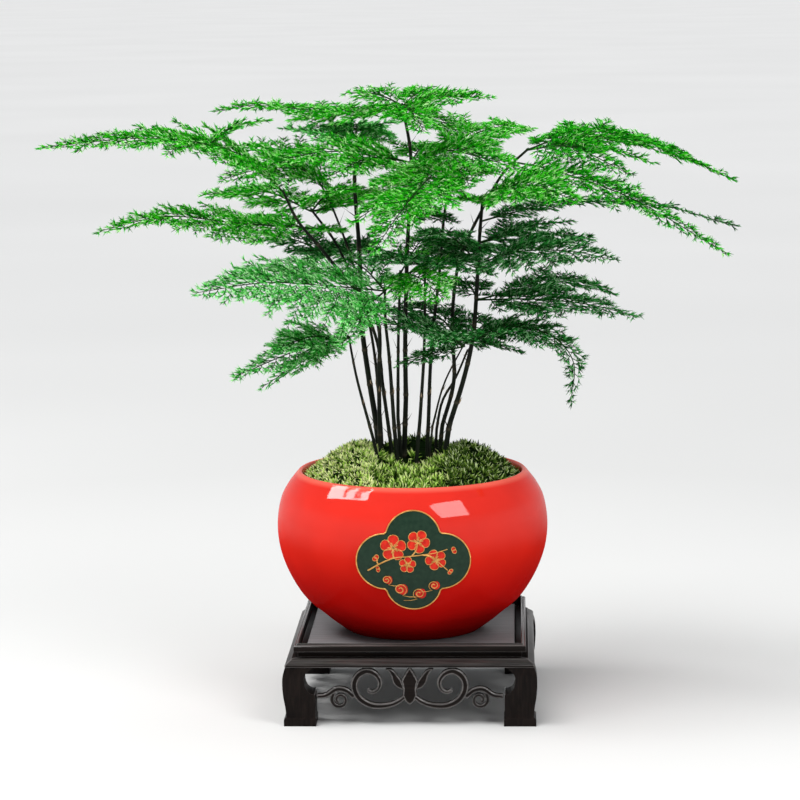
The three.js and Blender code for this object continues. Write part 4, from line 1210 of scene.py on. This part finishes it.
def grow_spray(bundle, route, half, lean, bare, sag, painted_light, draw):
    """A flat spray: branches on both sides of a rib, twigs on them and needles on the twigs."""
    line = smooth_line(route, 16)
    length = line_length(line)
    share = np.linspace(0, 1, RIB_STATIONS)
    bundle.tubes(at_share(line, share)[None], (RIB_RADIUS - RIB_TAPER * share)[None], 6, 0.05)
    bare = BARE * bare

    tufts = int(length * (1 - bare) / BRANCH_STEP)
    step = (np.arange(2 * tufts) // 2 + np.tile([0.25, 0.75], tufts)
            + draw.uniform(-0.14, 0.14, 2 * tufts)) / tufts
    step = np.concatenate([step, draw.uniform(0, 0.98, tufts)])
    count = len(step)
    every = np.arange(count)
    hand = np.where(every % 2 == 0, 1.0, -1.0)[:, None]
    short = every >= count - tufts
    share = bare + (1 - bare) * step
    root = at_share(line, share)
    along = way_at(line, share)
    rise = unit(-DOWN - along * along[:, 2:3])
    tilt = math.radians(lean)
    normal = rise * math.cos(tilt) + np.cross(along, rise) * math.sin(tilt)
    side = np.cross(along, normal)
    reach = np.maximum(half * blade_share(step) * draw.uniform(0.72, 1.08, count), 2.5)
    reach = np.where(short, np.minimum(reach, draw.uniform(*SHORT_BRANCH, count)), reach)
    open_angle = np.radians(BRANCH_ANGLE + draw.normal(0, 5, count) - 12 * step)
    lift = normal * (draw.normal(0, 0.11, count) + 0.45 * short)[:, None]

    def aside(angle):
        return unit(side * hand * np.sin(angle)[:, None] + along * np.cos(angle)[:, None] + lift)

    leave, arrive = aside(open_angle + 0.2), aside(open_angle - 0.3)

    def on_branch(which, run):
        """Places and directions at a run in millimetres along the chosen branches."""
        run = run[:, None]
        bend = (arrive - leave)[which] / reach[which][:, None]
        spot = root[which] + leave[which] * run + bend * run**2 / 2
        way = leave[which] + bend * run
        spot = spot + DOWN * sag * SAG * run**2
        way = way + DOWN * 2 * sag * SAG * run
        return spot, unit(way)

    spots = [on_branch(every, reach * k / (BRANCH_STATIONS - 1))[0] for k in range(BRANCH_STATIONS)]
    thick = np.linspace(*BRANCH_RADII, BRANCH_STATIONS)[None] * np.ones((count, 1))
    bundle.tubes(np.stack(spots, 1), thick, 3, 0.1)

    twigs = np.maximum(2, ((reach - 1) / TWIG_STEP).astype(int))
    which = np.repeat(every, twigs)
    order = np.arange(len(which)) - np.repeat(np.cumsum(twigs) - twigs, twigs)
    run = 1 + (order + draw.uniform(0.1, 0.9, len(which))) * TWIG_STEP
    run = np.minimum(run, reach[which])
    spot, way = on_branch(which, run)
    across = np.cross(normal[which], way)
    turn = np.radians(draw.normal(TWIG_ANGLE, 6, len(which)))[:, None]
    flip = np.where(order % 2 == 0, 1.0, -1.0)[:, None]
    aim = unit(way * np.cos(turn) + across * flip * np.sin(turn)
               + normal[which] * draw.normal(0, 0.17, len(which))[:, None])
    rest = reach[which] - run
    twig = np.clip(TWIG_LENGTH[0] + 0.3 * rest, *TWIG_LENGTH) * draw.uniform(0.7, 1.15, len(which))
    bundle.spikes(spot, aim, twig, TWIG_WIDTH, 0.15)

    pairs = 1 + (twig / NEEDLE_STEP).astype(int)
    chosen = np.repeat(np.arange(len(which)), pairs)
    place = np.arange(len(chosen)) - np.repeat(np.cumsum(pairs) - pairs, pairs)
    level = (place + draw.uniform(0.3, 0.9, len(chosen))) / pairs[chosen]
    ahead = aim[chosen]
    base = spot[chosen] + ahead * (twig[chosen] * level)[:, None]
    flat = unit(np.cross(normal[which][chosen], ahead))
    proud = np.cross(ahead, flat)
    spin = draw.normal(0, 0.6, len(chosen))[:, None]
    broad = flat * np.cos(spin) + proud * np.sin(spin)
    spread = np.radians(draw.uniform(*NEEDLE_SPREAD, (2, len(chosen))))
    size = draw.uniform(*NEEDLE_LENGTH, (2, len(chosen)))
    # The frond's painted light or shade sets the needles' tone, which rises towards each twig's end.
    tone = np.clip(painted_light + 0.25 * (level - 0.5) + draw.normal(0, 0.29, len(chosen)), 0.18, 1)
    bundle.pairs(base, ahead, broad, size, spread, NEEDLE_WIDTH, tone, 0.2)


def make_frond(name, look, hub, foot, sprays, draw):
    bundle = Bundle()
    for begin, group in ((foot, sprays), OFFSHOOTS.get(name, (foot, ()))):
        for half, lean, bare, sag, *points in group:
            grow_spray(bundle, [begin, *points], half, lean, bare, sag, FROND_PAINTED_LIGHT.get(name, 0.5), draw)
    if hub:
        joint = np.array([foot, hub], float)
        joint[1] += 0.6 * (joint[0] - joint[1])
        bundle.tubes(joint[None], np.array([[1.1, 0.5]]), 8, 0.02, (0, 1, 0))
    finish = "frond_soft" if name in SOFT else f"frond_{look}"
    settle(bundle.build(f"spray_{name}"), finish, f"frond_{look}", f"frond_{name}")


for k, (name, frond) in enumerate(FRONDS.items()):
    make_frond(name, *frond, np.random.default_rng(100 + k))
